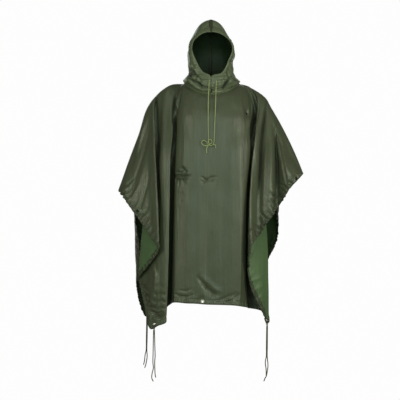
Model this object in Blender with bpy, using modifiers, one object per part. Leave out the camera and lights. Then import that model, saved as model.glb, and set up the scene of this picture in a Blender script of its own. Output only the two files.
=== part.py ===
"""Hooded rain poncho, hanging as it is worn: the front faces -Y and +X is to the right of a viewer.

The origin is at the middle of the neck, at the height of the shoulders. Lengths are metres,
except in the tables of folds, hood runs and cord routes, which are in millimetres.
"""

import math

import bmesh
import bpy
import numpy as np
from mathutils import Matrix, Vector
from mathutils.bvhtree import BVHTree

MM = 0.001
CLOTH_WALL = 0.0012
HEM_WALL = 0.0011
SEAM_GAP = 0.0003
HEM_GAP = 0.00097         # between the sheet and its gathered side hems
TURN_GAP = 0.0034         # the same where an edge turns back on itself
GRID = 0.038              # spacing of the sheet's mesh across its folds
ROW_STEP = 0.056          # and along them
ROW_SPREAD = 1.3          # over 1 the rows are closer near the shoulders
SEAM_ROW = 0.005          # the first row keeps the seam's edge square
SIDE_HEM_WIDTH = 0.024
SIDE_HEM_RISE = 0.0028    # height of a gather at the free edge
GATHER = 0.016            # from a gather's crest to its trough
EDGE_STEP = 0.06
SHARP_TURN = 0.75         # cosine
LEAST_SLANT = 0.5         # of a side edge to the run of the cloth

NECK_CENTRE_X = 0.004
NECK_HALF_WIDTH = 0.128
NECK_FRONT = 0.128
NECK_BACK = 0.108
NECK_SIDE_HEIGHT = 0.006
NECK_FRONT_DROP = 0.052
NECK_BACK_RISE = 0.014

# Ridge line of each shoulder and arm, from the neck to the sleeve corner: x and z.
SHOULDER_LEFT = ((-173, 4), (-214, -17), (-273, -70), (-288, -91), (-337, -232), (-373, -328), (-430, -491))
SHOULDER_RIGHT = ((161, -2), (202, -23), (232, -41), (258, -64), (276, -97), (320, -175), (390, -322), (426, -413))
ARM_FORWARD_LEFT = 0.040   # how far the sleeve corner hangs forward of the shoulder
ARM_FORWARD_RIGHT = 0.110
NECK_FAN = math.radians(58)    # how far the folds beside the neck turn outwards

STATIONS = (0.0, 0.25, 0.5, 0.75, 1.0)
# One row for each fold line, from the left sleeve to the right one. seat: where it starts, 0 at the
# middle of the neck, 1 at the side of the neck, 2 at the sleeve corner. end: the height it hangs to.
# x and depth: its place at a quarter, a half, three quarters and all of its length.
FRONT_FOLDS = (
    # name, seat, end, x25, x50, x75, x100, depth25, depth50, depth75, depth100
    ("cuff_left", -1.86, -534, -402, -402, -401, -397, 62, 78, 92, 98),
    ("sleeve_left_low", -1.68, -591, -364, -363, -362, -356, 66, 95, 115, 125),
    ("sleeve_left_mid", -1.5, -650, -326, -324, -320, -313, 72, 112, 140, 152),
    ("sleeve_left_high", -1.36, -708, -294, -290, -283, -274, 80, 128, 162, 178),
    ("pleat_left_edge", -1.245, -757, -258, -252, -243, -237, 101, 156, 193, 210),
    ("pleat_left_back", -1.235, -763, -257, -251, -241, -235, 94, 147, 183, 200),
    ("flap_left", -1.225, -823, -262, -271, -278, -278, 78, 118, 145, 160),
    ("flap_left_turn", -1.215, -898, -270, -296, -317, -335, 61, 83, 93, 97),
    ("flap_left_back", -1.205, -908, -270, -296, -317, -334, 55, 74, 84, 87),
    ("side_left", -1.19, -1007, -258, -281, -299, -310, 62, 86, 102, 118),
    ("corner_left", -1.15, -1122, -235, -251, -269, -281, 92, 128, 148, 160),
    ("hem_left", -1.08, -1108, -202, -214, -228, -241, 138, 168, 182, 186),
    ("lip_left", -1.0, -1090, -180, -189, -194, -203, 152, 186, 200, 202),
    ("valley_left", -0.97, -1052, -176, -210, -225, -229, 114, 91, 87, 91),
    ("valley_left_inner", -0.95, -1045, -167, -203, -216, -219, 110, 88, 84, 88),
    ("wall_left", -0.92, -1005, -157, -166, -172, -178, 140, 160, 168, 170),
    ("centre_left_outer", -0.74, -1006, -129, -136, -140, -143, 165, 180, 184, 184),
    ("centre_left_inner", -0.42, -1007, -74, -80, -85, -87, 176, 188, 190, 190),
    ("centre", 0, -1011, 0, -9, -18, -23, 180, 190, 192, 192),
    ("centre_right_inner", 0.4, -1013, 69, 62, 55, 51, 176, 188, 191, 191),
    ("centre_right_outer", 0.7, -1016, 129, 122, 115, 108, 166, 182, 186, 186),
    ("wall_right", 0.88, -1028, 170, 166, 160, 150, 142, 164, 166, 160),
    ("valley_right", 0.95, -1040, 179, 189, 195, 198, 84, 84, 92, 112),
    ("flap_right_turn", 1.02, -1092, 221, 248, 262, 266, 62, 92, 106, 122),
    ("corner_right", 1.05, -1099, 216, 235, 246, 253, 78, 112, 130, 142),
    ("flap_right_low", 1.07, -1044, 212, 214, 221, 232, 92, 130, 150, 160),
    ("flap_right_mid", 1.09, -938, 209, 195, 184, 182, 104, 148, 172, 180),
    ("flap_right_high", 1.103, -862, 207, 187, 173, 168, 110, 154, 178, 185),
    ("flap_right_fold", 1.117, -828, 207, 186, 172, 167, 116, 162, 187, 196),
    ("pleat_right_edge", 1.15, -745, 207, 187, 178, 183, 120, 172, 204, 216),
    ("furrow_right", 1.27, -697, 244, 228, 219, 218, 104, 148, 170, 180),
    ("ridge_right", 1.36, -637, 274, 267, 262, 262, 112, 164, 192, 202),
    ("crease_right", 1.46, -570, 297, 300, 302, 305, 104, 140, 158, 170),
    ("rib_right", 1.54, -513, 312, 322, 331, 340, 110, 152, 176, 190),
    ("cuff_right_high", 1.7, -474, 355, 358, 362, 368, 106, 138, 158, 172),
    ("cuff_right", 1.86, -443, 391, 392, 394, 397, 112, 128, 140, 146),
)
BACK_FOLDS = (
    # name, seat, end, x25, x50, x75, x100, depth25, depth50, depth75, depth100
    ("cuff_left", -1.86, -522, -401, -400, -398, -393, 30, 45, 50, 44),
    ("sleeve_left_low", -1.68, -566, -363, -363, -362, -361, 50, 68, 66, 48),
    ("sleeve_left_mid", -1.52, -653, -331, -345, -355, -342, 64, 84, 74, 16),
    ("sleeve_left_high", -1.38, -800, -304, -329, -352, -316, 80, 104, 86, -30),
    ("wrap_left", -1.28, -938, -281, -313, -344, -318, 92, 120, 100, -24),
    ("corner_left", -1.2, -1076, -258, -290, -324, -309, 104, 132, 124, 60),
    ("hem_left", -1.12, -1044, -230, -258, -276, -271, 118, 148, 150, 128),
    ("ridge_left", -1.02, -1012, -193, -212, -225, -230, 140, 178, 200, 208),
    ("valley_left", -0.86, -994, -156, -168, -179, -184, 132, 144, 146, 146),
    ("ridge_left_inner", -0.62, -987, -115, -122, -129, -131, 152, 186, 204, 214),
    ("centre_left", -0.32, -982, -60, -64, -67, -67, 150, 176, 186, 190),
    ("centre", 0, -984, 0, -2, -5, -9, 156, 186, 198, 206),
    ("centre_right", 0.34, -984, 55, 55, 53, 51, 150, 178, 188, 192),
    ("ridge_right_inner", 0.64, -989, 110, 115, 117, 115, 152, 190, 210, 218),
    ("valley_right", 0.9, -996, 156, 168, 169, 147, 132, 142, 142, 138),
    ("ridge_right", 1.04, -1005, 193, 207, 205, 164, 138, 174, 182, 160),
    ("corner_right", 1.14, -1012, 216, 235, 244, 182, 124, 148, 150, 130),
    ("edge_right_low", 1.22, -920, 235, 260, 274, 230, 110, 128, 130, 122),
    ("edge_right_mid", 1.3, -826, 258, 285, 301, 264, 94, 108, 110, 106),
    ("edge_right_high", 1.38, -731, 278, 301, 315, 310, 74, 86, 90, 88),
    ("edge_right_turn", 1.48, -658, 304, 316, 319, 317, 40, 52, 56, 56),
    ("sleeve_right_low", 1.6, -577, 331, 324, 317, 311, 4, 12, 16, 18),
    ("cuff_right_high", 1.74, -504, 366, 359, 352, 345, -36, -28, -22, -20),
    ("cuff_right", 1.87, -453, 395, 392, 389, 386, -64, -60, -58, -56),
)

HOOD_STATIONS = (0.0, 0.1, 0.2, 0.35, 0.5, 0.68, 0.85, 1.0)
HOOD_GRID = 0.030
HOOD_ROWS = 13
HOOD_LIFT = 0.0015        # of the hood's lower edge over the sheet's neck edge
CROWN_STATION = 0.93
CROWN_LEFT_TO_GO = (0.52, 0.5, 0.3)    # at that station, of the last step in x, y and z
CROWN_SEAM_SLOPE = (1.1, 0.8, 0.4)     # at the crown seam, beside a straight line to it
TUNNEL_SWELL = 0.0026
CHIN_GAP = 0.0012
EYELET_HOLE = 0.0050      # radii
EYELET_BARREL = 0.0062
EYELET_FLANGE = 0.0095
EYELET_PLATE = 0.0009     # thickness of a flange
EYELET_RISE = 0.012       # of its middle over the hem
TRIM_GAP = 0.0003
TRIM_STEPS = 12
SNAP_PROFILE = ((0.0, 3.0), (3.4, 2.7), (5.6, 1.7), (6.5, 0.6), (6.5, 0.0), (0.0, 0.0))
SNAP_REACH = 0.0065
# name, where its middle is across the sheet: from a fold line, in m along the hem
EYELETS_FRONT = (
    ("eyelet_front_left", "corner_left", 0.012),
    ("eyelet_front_middle", "centre", -0.006),
    ("eyelet_front_right", "corner_right", -0.012),
)
EYELETS_BACK = (
    ("eyelet_back_left", "corner_left", 0.012),
    ("eyelet_back_middle", "centre", 0.0),
    ("eyelet_back_right", "corner_right", -0.012),
)
# x and z of each snap on the front
SNAPS = (
    ("snap_chest", 162, -136),
    ("snap_sleeve_left", -336, -584),
    ("snap_sleeve_right", 389, -436),
    ("snap_side_right", 289, -580),
)

CORD_RADIUS = 0.0015
CORD_STEP = 0.0090        # between the points of a cord
CORD_CLEARANCE = 0.0009   # from the cloth it hangs in front of
DEPTH_STEP = 14           # in mm, between the places where a cord's depth is taken
HANG_FREE = 0.0065        # how far a hood cord stands out of the cloth at its exit
TIE_RADIUS = 0.0060       # of the loop of cord through a corner eyelet
TIE_KNOT = 0.0040
TIE_ANGLES = [math.tau * i / 8 for i in range(8)]
# Routes of the cords seen from the front, x and z from the top down.
HOOD_CORD_LEFT = ((-9, 16), (-10, -20), (-12, -60), (-13, -110), (-13, -160), (-13, -210), (-12, -252), (-11, -274))
HOOD_CORD_RIGHT = (
    (24, 12), (23, -20), (22, -60), (20, -110), (18, -160), (16, -210), (14, -240), (12, -262), (7, -277), (-0.5, -280.5), (-5.1, -281),
)
BOW_KNOT = (-10, -281)
BOW_KNOT_RADII = (4.6, 3.6, 4.2)
# Pieces of the bow: x, z and how far in front of the knot's middle.
BOW_LOOP_LEFT = (
    (-15, -279, 0), (-20, -272, 2), (-27, -263, 3), (-34, -259, 3), (-40, -263, 3), (-38, -271, 3), (-31, -279, 3),
    (-23, -284, 2), (-15.4, -284.5, 0),
)
BOW_LOOP_RIGHT = (
    (-8.2, -276.6, 2.6), (-12, -270, 5), (-12, -262, 6), (-6, -256, 6), (2, -258, 6), (5, -266, 6), (2, -273, 5),
    (-5.3, -278.1, 2.6),
)
BOW_TAIL_LEFT = ((-11.8, -285.5, 0.4), (-17, -294, 1.5), (-20, -306, 2), (-21, -322, 2.5))
BOW_TAIL_RIGHT = ((-7.5, -285.6, 0), (0, -290, 1.5), (9, -289, 3), (16, -288, 3), (20, -298, 3), (21, -308, 3))
# Strands below each corner knot: x, z and depth beside the knot's middle.
CORNER_STRANDS = (
    ("corner_cord_back_left_1", "eyelet_back_left",
     ((-1.6, -4.5, 0), (-2, -60, 0), (-3, -110, 1), (-4, -160, 1), (-9, -182, 0), (-11, -204, -1), (-16, -228, -1))),
    ("corner_cord_back_left_2", "eyelet_back_left",
     ((1.8, -4.5, 0), (1.6, -60, 1), (0.6, -110, 0), (-0.4, -160, -2), (1, -186, -3), (-1, -204, -3),
      (-6, -228, -2), (-11, -242, -1))),
    ("corner_cord_front_left_1", "eyelet_front_left",
     ((-1.8, -4.5, 0), (-3, -50, 0), (-4, -100, 1), (-5, -156, 1), (-3, -180, 0), (-9, -206, -1), (-10, -226, -1),
      (-3, -242, 0))),
    ("corner_cord_front_left_2", "eyelet_front_left",
     ((1.8, -4.5, 0), (3, -50, 0), (4, -88, 0), (5, -124, 1), (3, -156, 1), (4, -190, 0), (5, -208, 0), (8, -224, 0))),
    ("corner_cord_front_right_1", "eyelet_front_right",
     ((-1.6, -4.5, 0), (-2.4, -50, 0), (-3, -100, 1), (-3.4, -144, 1), (-8, -172, 0), (-5, -200, -1), (-4, -214, -1),
      (-4, -236, 0))),
    ("corner_cord_front_right_2", "eyelet_front_right",
     ((1.8, -4.5, 0), (1.6, -50, 0), (1.2, -100, 0), (0.6, -144, -2), (4, -186, -3), (1, -212, -4), (-4, -236, -4),
      (-10, -246, -3), (-15, -260, -2))),
)
# One row for each run of a hood half from the neck up to the crown seam. turn: where it starts on
# the neck, 0 in front, 2 at the nape. Then x, y, z at each station after the first.
HOOD_LEFT = (
    ("edge", 0.0, (-2, -146, -14), (-2, -148, 31), (-39, -142, 57), (-69, -130, 110), (-87, -120, 170),
     (-64, -122, 214), (0, -125, 239)),
    ("tunnel", 0.3, (-39, -142, -5), (-48, -150, 25), (-69, -140, 48), (-90, -118, 106), (-102, -102, 166),
     (-80, -100, 221), (0, -105, 264)),
    ("cheek", 0.62, (-94, -110, 2), (-108, -110, 23), (-106, -80, 55), (-103, -70, 106), (-105, -60, 161),
     (-89, -60, 216), (0, -70, 288)),
    ("side", 1.0, (-129, -8, 20), (-121, -14, 34), (-106, -10, 55), (-102, -10, 101), (-104, -10, 156),
     (-90, -10, 212), (0, -30, 296)),
    ("rear", 1.35, (-117, 70, 23), (-108, 80, 46), (-101, 85, 78), (-99, 90, 120), (-97, 90, 166),
     (-74, 70, 212), (0, 30, 283)),
    ("nape_side", 1.7, (-69, 108, 32), (-69, 118, 55), (-67, 125, 87), (-64, 130, 129), (-60, 125, 170),
     (-41, 105, 214), (0, 75, 260)),
    ("nape", 2.0, (0, 122, 37), (0, 135, 64), (0, 142, 97), (0, 146, 138), (0, 140, 175),
     (0, 125, 209), (0, 105, 235)),
)
HOOD_RIGHT = (
    ("edge", 0.0, (2, -146, -14), (2, -148, 31), (51, -142, 53), (80, -130, 108), (98, -120, 168),
     (71, -122, 213), (0, -125, 239)),
    ("tunnel", 0.3, (48, -142, 0), (57, -150, 28), (78, -140, 53), (95, -118, 106), (107, -102, 161),
     (83, -100, 217), (0, -105, 264)),
    ("cheek", 0.62, (101, -110, 6), (103, -110, 30), (103, -80, 55), (99, -70, 103), (109, -60, 152),
     (86, -60, 213), (0, -70, 288)),
    ("side", 1.0, (133, -8, 19), (122, -14, 33), (104, -10, 47), (98, -10, 106), (109, -10, 150),
     (86, -10, 209), (0, -30, 296)),
    ("rear", 1.35, (120, 70, 21), (110, 80, 46), (101, 85, 78), (97, 90, 120), (99, 90, 166),
     (71, 70, 212), (0, 30, 283)),
    ("nape_side", 1.7, (71, 108, 32), (71, 118, 55), (69, 125, 87), (67, 130, 129), (62, 125, 170),
     (41, 105, 214), (0, 75, 260)),
    ("nape", 2.0, (0, 122, 37), (0, 135, 64), (0, 142, 97), (0, 146, 138), (0, 140, 175),
     (0, 125, 209), (0, 105, 235)),
)


def spline(knots, points, where, start_slope=None, end_slope=None):
    """Cubic curve through points at uneven knots, read at the values in where."""
    knots = np.asarray(knots, float)
    points = np.asarray(points, float)
    steps = np.diff(knots)
    shape = (-1,) + (1,) * (points.ndim - 1)
    chords = np.diff(points, axis=0) / steps.reshape(shape)
    before = steps[:-1].reshape(shape)
    after = steps[1:].reshape(shape)
    slopes = np.empty_like(points)
    slopes[0] = chords[0] if start_slope is None else start_slope
    slopes[-1] = chords[-1] if end_slope is None else end_slope
    slopes[1:-1] = (after * chords[:-1] + before * chords[1:]) / (before + after)
    where = np.atleast_1d(np.asarray(where, float))
    span = np.clip(np.searchsorted(knots, where, side="right") - 1, 0, len(steps) - 1)
    width = steps[span].reshape(shape)
    u = ((where - knots[span]) / steps[span]).reshape(shape)
    return (
        (2 * u**3 - 3 * u**2 + 1) * points[span]
        + (u**3 - 2 * u**2 + u) * width * slopes[span]
        + (3 * u**2 - 2 * u**3) * points[span + 1]
        + (u**3 - u**2) * width * slopes[span + 1]
    )


def neck_point(turn):
    """Point of the neck seam: turn is 0 in front, 1 or -1 at the side and 2 at the nape."""
    angle = turn * math.pi / 2
    ahead = math.cos(angle)
    x = NECK_CENTRE_X + NECK_HALF_WIDTH * math.sin(angle)
    if ahead >= 0:
        return np.array((x, -NECK_FRONT * ahead, NECK_SIDE_HEIGHT - NECK_FRONT_DROP * ahead**1.8))
    return np.array((x, -NECK_BACK * ahead, NECK_SIDE_HEIGHT - NECK_BACK_RISE * ahead))


def shoulder_point(share, side):
    """Point of the shoulder ridge at a share of its length from the neck to the sleeve corner."""
    table, forward = (SHOULDER_LEFT, ARM_FORWARD_LEFT) if side < 0 else (SHOULDER_RIGHT, ARM_FORWARD_RIGHT)
    start = neck_point(side)
    line = np.array([(start[0], start[2])] + [(x * MM, z * MM) for x, z in table])
    knots = np.concatenate(([0], np.cumsum(np.linalg.norm(np.diff(line, axis=0), axis=1))))
    x, z = spline(knots / knots[-1], line, share)[0]
    return np.array((x, -forward * share**1.5, z))


def top_point(seat, facing):
    """Point of a sheet half's top edge: facing is -1 for the front half and 1 for the back half."""
    side = -1 if seat < 0 else 1
    if abs(seat) <= 1:
        return neck_point(seat if facing < 0 else side * (2 - abs(seat)))
    point = shoulder_point(abs(seat) - 1, side)
    point[1] += facing * SEAM_GAP / 2
    return point


class Sheet:
    """Smooth surface through the fold lines of one half of the sheet."""

    def __init__(self, folds, facing):
        self.facing = facing
        self.names = ["tip_left"] + [row[0] for row in folds] + ["tip_right"]
        self.seats = [-2.0] + [row[1] for row in folds] + [2.0]
        lines = [[top_point(-2.0, facing)] * len(STATIONS)]
        for _, seat, end, *rest in folds:
            top = top_point(seat, facing)
            line = [top]
            for share, x, depth in zip(STATIONS[1:], rest[:4], rest[4:]):
                height = top[2] + (end * MM - top[2]) * share
                line.append(np.array((x * MM, facing * depth * MM, height)))
            lines.append(line)
        lines.append([top_point(2.0, facing)] * len(STATIONS))
        self.lines = np.array(lines)
        steps = np.linalg.norm(np.diff(self.lines, axis=0), axis=2).mean(axis=1)
        self.knots = np.concatenate(([0], np.cumsum(np.sqrt(steps))))
        self.slopes = np.array([self.start_slope(i) for i in range(len(lines))])
        self.lengths = np.linalg.norm(np.diff(self.lines, axis=1), axis=2).sum(axis=1)

    def start_slope(self, i):
        """The cloth leaves the shoulder ridge level, straight forward or back, and the neck fanning out."""
        length = np.linalg.norm(np.diff(self.lines[i], axis=0), axis=1).sum()
        seat = self.seats[i]
        steep = max(0, 1 - abs(seat))
        fan = NECK_FAN * (abs(seat) if abs(seat) <= 1 else max(0, 1 - (abs(seat) - 1) / 0.3))
        out = 0.9 - 0.3 * steep
        return length * np.array((
            math.copysign(out * math.sin(fan), seat),
            self.facing * out * math.cos(fan),
            -0.12 * (abs(seat) <= 1) - 0.58 * steep,
        ))

    def place(self, name):
        return self.knots[self.names.index(name)]

    def length(self, across):
        return float(np.interp(across, self.knots, self.lengths))

    def run(self, across, shares):
        """Points down the sheet at one place across it."""
        shares = np.asarray(shares, float)
        lines = spline(STATIONS, np.swapaxes(self.lines, 0, 1), shares, self.slopes)
        points = np.array([spline(self.knots, line, across)[0] for line in lines])
        seat = float(np.interp(across, self.knots, self.seats))
        first = spline(STATIONS, np.swapaxes(self.lines, 0, 1), 0.0, self.slopes)[0]
        drift = top_point(seat, self.facing) - spline(self.knots, first, across)[0]
        fade = np.clip(1 - shares / STATIONS[1], 0, 1) ** 2
        return points + fade[:, None] * drift

    def point(self, across, share):
        return self.run(across, [share])[0]

    def normal(self, across, share):
        """Outward direction, towards the viewer of this half."""
        step = 0.002
        down = self.point(across, share) - self.point(across, share - step)
        along = self.point(across + step, share) - self.point(across - step, share)
        found = np.cross(along, -down) * -self.facing
        return found / np.linalg.norm(found)


def stitch(columns):
    """Triangles between neighbouring runs of points, which may have different counts."""
    starts = np.concatenate(([0], np.cumsum([len(column) for column in columns])))
    faces = []
    for k in range(len(columns) - 1):
        left, right = int(starts[k]), int(starts[k + 1])
        most_left, most_right = len(columns[k]) - 1, len(columns[k + 1]) - 1
        i = j = 0
        while i < most_left or j < most_right:
            next_left = (i + 1) / most_left if i < most_left else math.inf
            next_right = (j + 1) / most_right if j < most_right else math.inf
            step_left = next_left < next_right
            if abs(next_left - next_right) < 1e-6:
                one_way = np.linalg.norm(columns[k][i + 1] - columns[k + 1][j])
                step_left = one_way < np.linalg.norm(columns[k][i] - columns[k + 1][j + 1])
            if step_left:
                faces.append((left + i, left + i + 1, right + j))
                i += 1
            else:
                faces.append((left + i, right + j + 1, right + j))
                j += 1
    return faces


def material(name, colour, roughness, metallic=0.0):
    made = bpy.data.materials.get(name)
    if made is None:
        made = bpy.data.materials.new(name)
        made.use_nodes = True
        shader = made.node_tree.nodes["Principled BSDF"]
        shader.inputs["Base Color"].default_value = (*colour, 1)
        shader.inputs["Roughness"].default_value = roughness
        shader.inputs["Metallic"].default_value = metallic
    return made


def coated_nylon():
    return material("coated_nylon", (0.075, 0.085, 0.052), 0.45)


def hood_nylon():
    return material("hood_nylon", (0.090, 0.100, 0.062), 0.45)


def cord_olive():
    return material("cord_olive", (0.26, 0.28, 0.12), 0.8)


def dark_metal():
    return material("dark_metal", (0.04, 0.04, 0.035), 0.35, 0.9)


def add_mesh(name, points, faces, finish):
    mesh = bpy.data.meshes.new(name)
    mesh.from_pydata([tuple(float(v) for v in point) for point in points], [], faces)
    mesh.update()
    made = bpy.data.objects.new(name, mesh)
    made.data.materials.append(finish)
    poncho.objects.link(made)
    for polygon in mesh.polygons:
        polygon.use_smooth = True
    return made


def add_wall(name, columns, facing, finish, wall=CLOTH_WALL):
    """Cloth wall whose outer face passes through the columns of points."""
    faces = stitch(columns)
    if facing > 0:
        faces = [face[::-1] for face in faces]
    made = add_mesh(name, np.concatenate(columns), faces, finish)
    solidify = made.modifiers.new("wall", "SOLIDIFY")
    solidify.thickness = wall
    solidify.offset = -1
    return made


def sheet_places(sheet, spacing):
    """Places across the sheet: each fold line, with more between those far apart or sharply turned."""
    paths = np.diff(sheet.lines, axis=0)
    steps = np.linalg.norm(paths, axis=2).mean(axis=1)
    turned = [(paths[k, 1:] * paths[k + 1, 1:]).sum() < 0 for k in range(len(paths) - 1)]
    sharp = [a or b for a, b in zip([False] + turned, turned + [False])]
    places = [sheet.knots[0]]
    for k, step in enumerate(steps):
        count = max(2 if sharp[k] else 1, round(step / spacing))
        places.extend(np.linspace(sheet.knots[k], sheet.knots[k + 1], count + 1)[1:])
    return np.array(places)


def seam_share(sheet, across):
    """Share of a run where the sheet stops and its gathered side hem starts."""
    if sheet.place("corner_left") <= across <= sheet.place("corner_right"):
        return 1.0
    edge = sheet.point(across, 1.0)
    down = edge - sheet.point(across, 0.95)
    slants = []
    for step in (-EDGE_STEP, EDGE_STEP):
        beside = sheet.point(np.clip(across + step, sheet.knots[0], sheet.knots[-1]), 1.0) - edge
        size = np.linalg.norm(beside) * np.linalg.norm(down)
        slants.append(np.linalg.norm(np.cross(beside, down)) / size if size > 0 else 1.0)
    up = SIDE_HEM_WIDTH / max(sum(slants) / 2, LEAST_SLANT)
    return max(0.4, 1 - up / max(sheet.length(across), SIDE_HEM_WIDTH))


def sheet_rows(sheet, across):
    """Shares of the rows of mesh down one run of the sheet."""
    end = seam_share(sheet, across)
    length = sheet.length(across) * end
    if length < SIDE_HEM_WIDTH:
        return np.array([0.0])
    count = max(2, round(length / ROW_STEP))
    shares = end * np.linspace(0, 1, count + 1) ** ROW_SPREAD
    return np.insert(shares, 1, SEAM_ROW / length)


def clear_the_ridge(sheet, places, columns):
    """Draws the top edge back where the wall leans over the shoulder ridge, towards the other half."""
    for k in range(len(columns)):
        if abs(np.interp(places[k], sheet.knots, sheet.seats)) <= 1:
            continue
        lean = 1.0
        if len(columns[k]) > 1:
            along = columns[k + 1][0] - columns[k - 1][0]
            normal = np.cross(along, columns[k][1] - columns[k][0])
            lean = abs(normal[1]) / np.linalg.norm(normal)
        columns[k][0][1] += sheet.facing * CLOTH_WALL * lean


def build_sheet(name, sheet):
    places = sheet_places(sheet, GRID)
    columns = [sheet.run(across, sheet_rows(sheet, across)) for across in places]
    clear_the_ridge(sheet, places, columns)
    return add_wall(name, columns, sheet.facing, coated_nylon())


def turns_back(points):
    """Whether a line of points turns sharply at each of them."""
    steps = np.diff(points, axis=0)
    steps /= np.linalg.norm(steps, axis=1)[:, None]
    return [False] + [float(a @ b) < SHARP_TURN for a, b in zip(steps[:-1], steps[1:])] + [False]


def build_side_hem(name, sheet, side):
    """Gathered strip along one side edge, from just under the sleeve corner to the hem corner."""
    corner = sheet.place("corner_left" if side < 0 else "corner_right")
    places = [p for p in sheet_places(sheet, GRID) if side * p >= side * corner]
    if side > 0:
        places = places[::-1]
    seams = np.array([sheet.point(p, seam_share(sheet, p)) for p in places])
    sharp = turns_back(seams)
    stops = []
    for k in range(len(places) - 1):
        span = np.linalg.norm(seams[k + 1] - seams[k])
        count = max(1, round(span / GATHER))
        gap, calm = (TURN_GAP, 0.35) if sharp[k] or sharp[k + 1] else (HEM_GAP, 1)
        for share in (np.arange(count) + 0.3 * (k == 0)) / count:
            across = places[k] * (1 - share) + places[k + 1] * share
            seam = seams[k] * (1 - share) + seams[k + 1] * share
            along = (seams[k + 1] - seams[k]) / span
            stops.append((across, seam, along, gap, calm * min(1, span / count / GATHER)))
    columns = []
    for k, (across, seam, along, gap, room) in enumerate(stops):
        edge = sheet.point(across, 1.0)
        out = (edge - seam) - along * (along @ (edge - seam))
        width = np.linalg.norm(out)
        room = min(room, width / SIDE_HEM_WIDTH)
        rise = SIDE_HEM_RISE * room * (-1) ** k * (0.75 + 0.25 * math.sin(2.1 * k))
        columns.append(np.array((seam + out * (gap / width), edge + sheet.normal(across, 0.99) * rise)))
    if side > 0:
        columns = columns[::-1]
    return add_wall(name, columns, sheet.facing, coated_nylon(), HEM_WALL)


class Hood:
    """Smooth surface through the runs of one half of the hood."""

    def __init__(self, runs, side):
        self.side = side
        lines = []
        for _, turn, *rest in runs:
            line = [neck_point(side * turn) + np.array((0, 0, HOOD_LIFT))]
            line += [np.array(point) * MM for point in rest]
            line.insert(-1, line[-1] + (line[-2] - line[-1]) * np.array(CROWN_LEFT_TO_GO))
            lines.append(line)
        self.lines = np.array(lines)
        self.stations = (*HOOD_STATIONS[:-1], CROWN_STATION, HOOD_STATIONS[-1])
        self.turns = [row[1] for row in runs]
        steps = np.linalg.norm(np.diff(self.lines, axis=0), axis=2).mean(axis=1)
        self.knots = np.concatenate(([0], np.cumsum(np.sqrt(steps))))
        chords = (self.lines[:, -1] - self.lines[:, -2]) / (1 - CROWN_STATION)
        self.crown_slopes = chords * np.array(CROWN_SEAM_SLOPE)
        self.places = [self.knots[0]]
        for k, step in enumerate(steps):
            count = max(1, round(step / HOOD_GRID))
            self.places.extend(np.linspace(self.knots[k], self.knots[k + 1], count + 1)[1:])

    def run(self, across, shares):
        """Points up the hood at one place from its front edge to its back seam."""
        shares = np.asarray(shares, float)
        lines = spline(self.stations, np.swapaxes(self.lines, 0, 1), shares, end_slope=self.crown_slopes)
        points = np.array([spline(self.knots, line, across)[0] for line in lines])
        turn = float(np.interp(across, self.knots, self.turns))
        base = neck_point(self.side * turn) + np.array((0, 0, HOOD_LIFT))
        drift = base - spline(self.knots, self.lines[:, 0], across)[0]
        fade = np.clip(1 - shares / HOOD_STATIONS[1], 0, 1) ** 2
        points += fade[:, None] * drift
        past_seam = self.side * points[:, 0] < SEAM_GAP / 2
        points[past_seam, 0] = self.side * SEAM_GAP / 2
        return points


def build_hood_half(name, hood):
    columns = [hood.run(place, np.linspace(0, 1, HOOD_ROWS + 1)) for place in hood.places[1:]]
    if hood.side < 0:
        columns = columns[::-1]
    return add_wall(name, columns, -1, hood_nylon())


def build_face_tunnel(name, left, right):
    """Gathered channel along the hood's front edge: up one side of the face, over it and down."""
    shares = np.arange(HOOD_ROWS) / HOOD_ROWS
    stops = [(left, share) for share in shares] + [(left, 1.0)]
    stops += [(right, share) for share in reversed(shares)]
    columns = []
    for k, (hood, share) in enumerate(stops):
        edge, seam = (hood.run(place, [share])[0] for place in hood.places[:2])
        up = hood.run(hood.places[0], [share + 0.01])[0] - hood.run(hood.places[0], [share - 0.01])[0]
        normal = np.cross(up, seam - edge) * -hood.side
        if share == 1.0:
            edge, seam, normal = (v * np.array((0, 1, 1)) for v in (edge, seam, normal))
        else:
            edge[0] = hood.side * max(hood.side * edge[0], CHIN_GAP)
        across = (seam - edge) / np.linalg.norm(seam - edge)
        seam = seam - across * HEM_GAP
        crest = TUNNEL_SWELL * (1 + 0.5 * (-1) ** k) * normal / np.linalg.norm(normal)
        columns.append(np.array((edge, edge * 0.5 + seam * 0.5 + crest, seam)))
    return add_wall(name, columns, 1, hood_nylon())


def add_turned(name, profile, centre, axis, finish, scale=1.0):
    """Ring or disc turned round an axis; profile rows are radius and height."""
    mesh = bpy.data.meshes.new(name)
    count = len(profile)
    solid = profile[0][0] == 0
    edges = [(i, i + 1) for i in range(count - 1)] + ([] if solid else [(count - 1, 0)])
    mesh.from_pydata([(r * scale, 0, h * scale) for r, h in profile], edges, [])
    made = bpy.data.objects.new(name, mesh)
    made.data.materials.append(finish)
    poncho.objects.link(made)
    screw = made.modifiers.new("turn", "SCREW")
    screw.steps = screw.render_steps = TRIM_STEPS
    screw.use_merge_vertices = True
    screw.merge_threshold = 1e-5
    screw.use_normal_flip = not solid
    turn = Vector(axis).to_track_quat("Z", "Y").to_matrix().to_4x4()
    made.matrix_world = Matrix.Translation(Vector(centre)) @ turn
    return made


def surface_tree(made):
    """The evaluated faces of an object, to be met by rays."""
    return BVHTree.FromObject(made, bpy.context.evaluated_depsgraph_get())


def highest(tree, centre, axis, reach):
    """Height of the surface's highest place under a disc, along its axis."""
    side = axis.orthogonal().normalized()
    heights = []
    for ring in (0, 0.6, 1.05):
        for step in range(TRIM_STEPS if ring else 1):
            spoke = Matrix.Rotation(step * math.tau / TRIM_STEPS, 3, axis) @ side
            start = centre + spoke * (ring * reach) + axis * reach
            hit, _, _, distance = tree.ray_cast(start, -axis, 2 * reach)
            if hit is not None:
                heights.append(reach - distance)
    return max(heights), min(heights)


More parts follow.
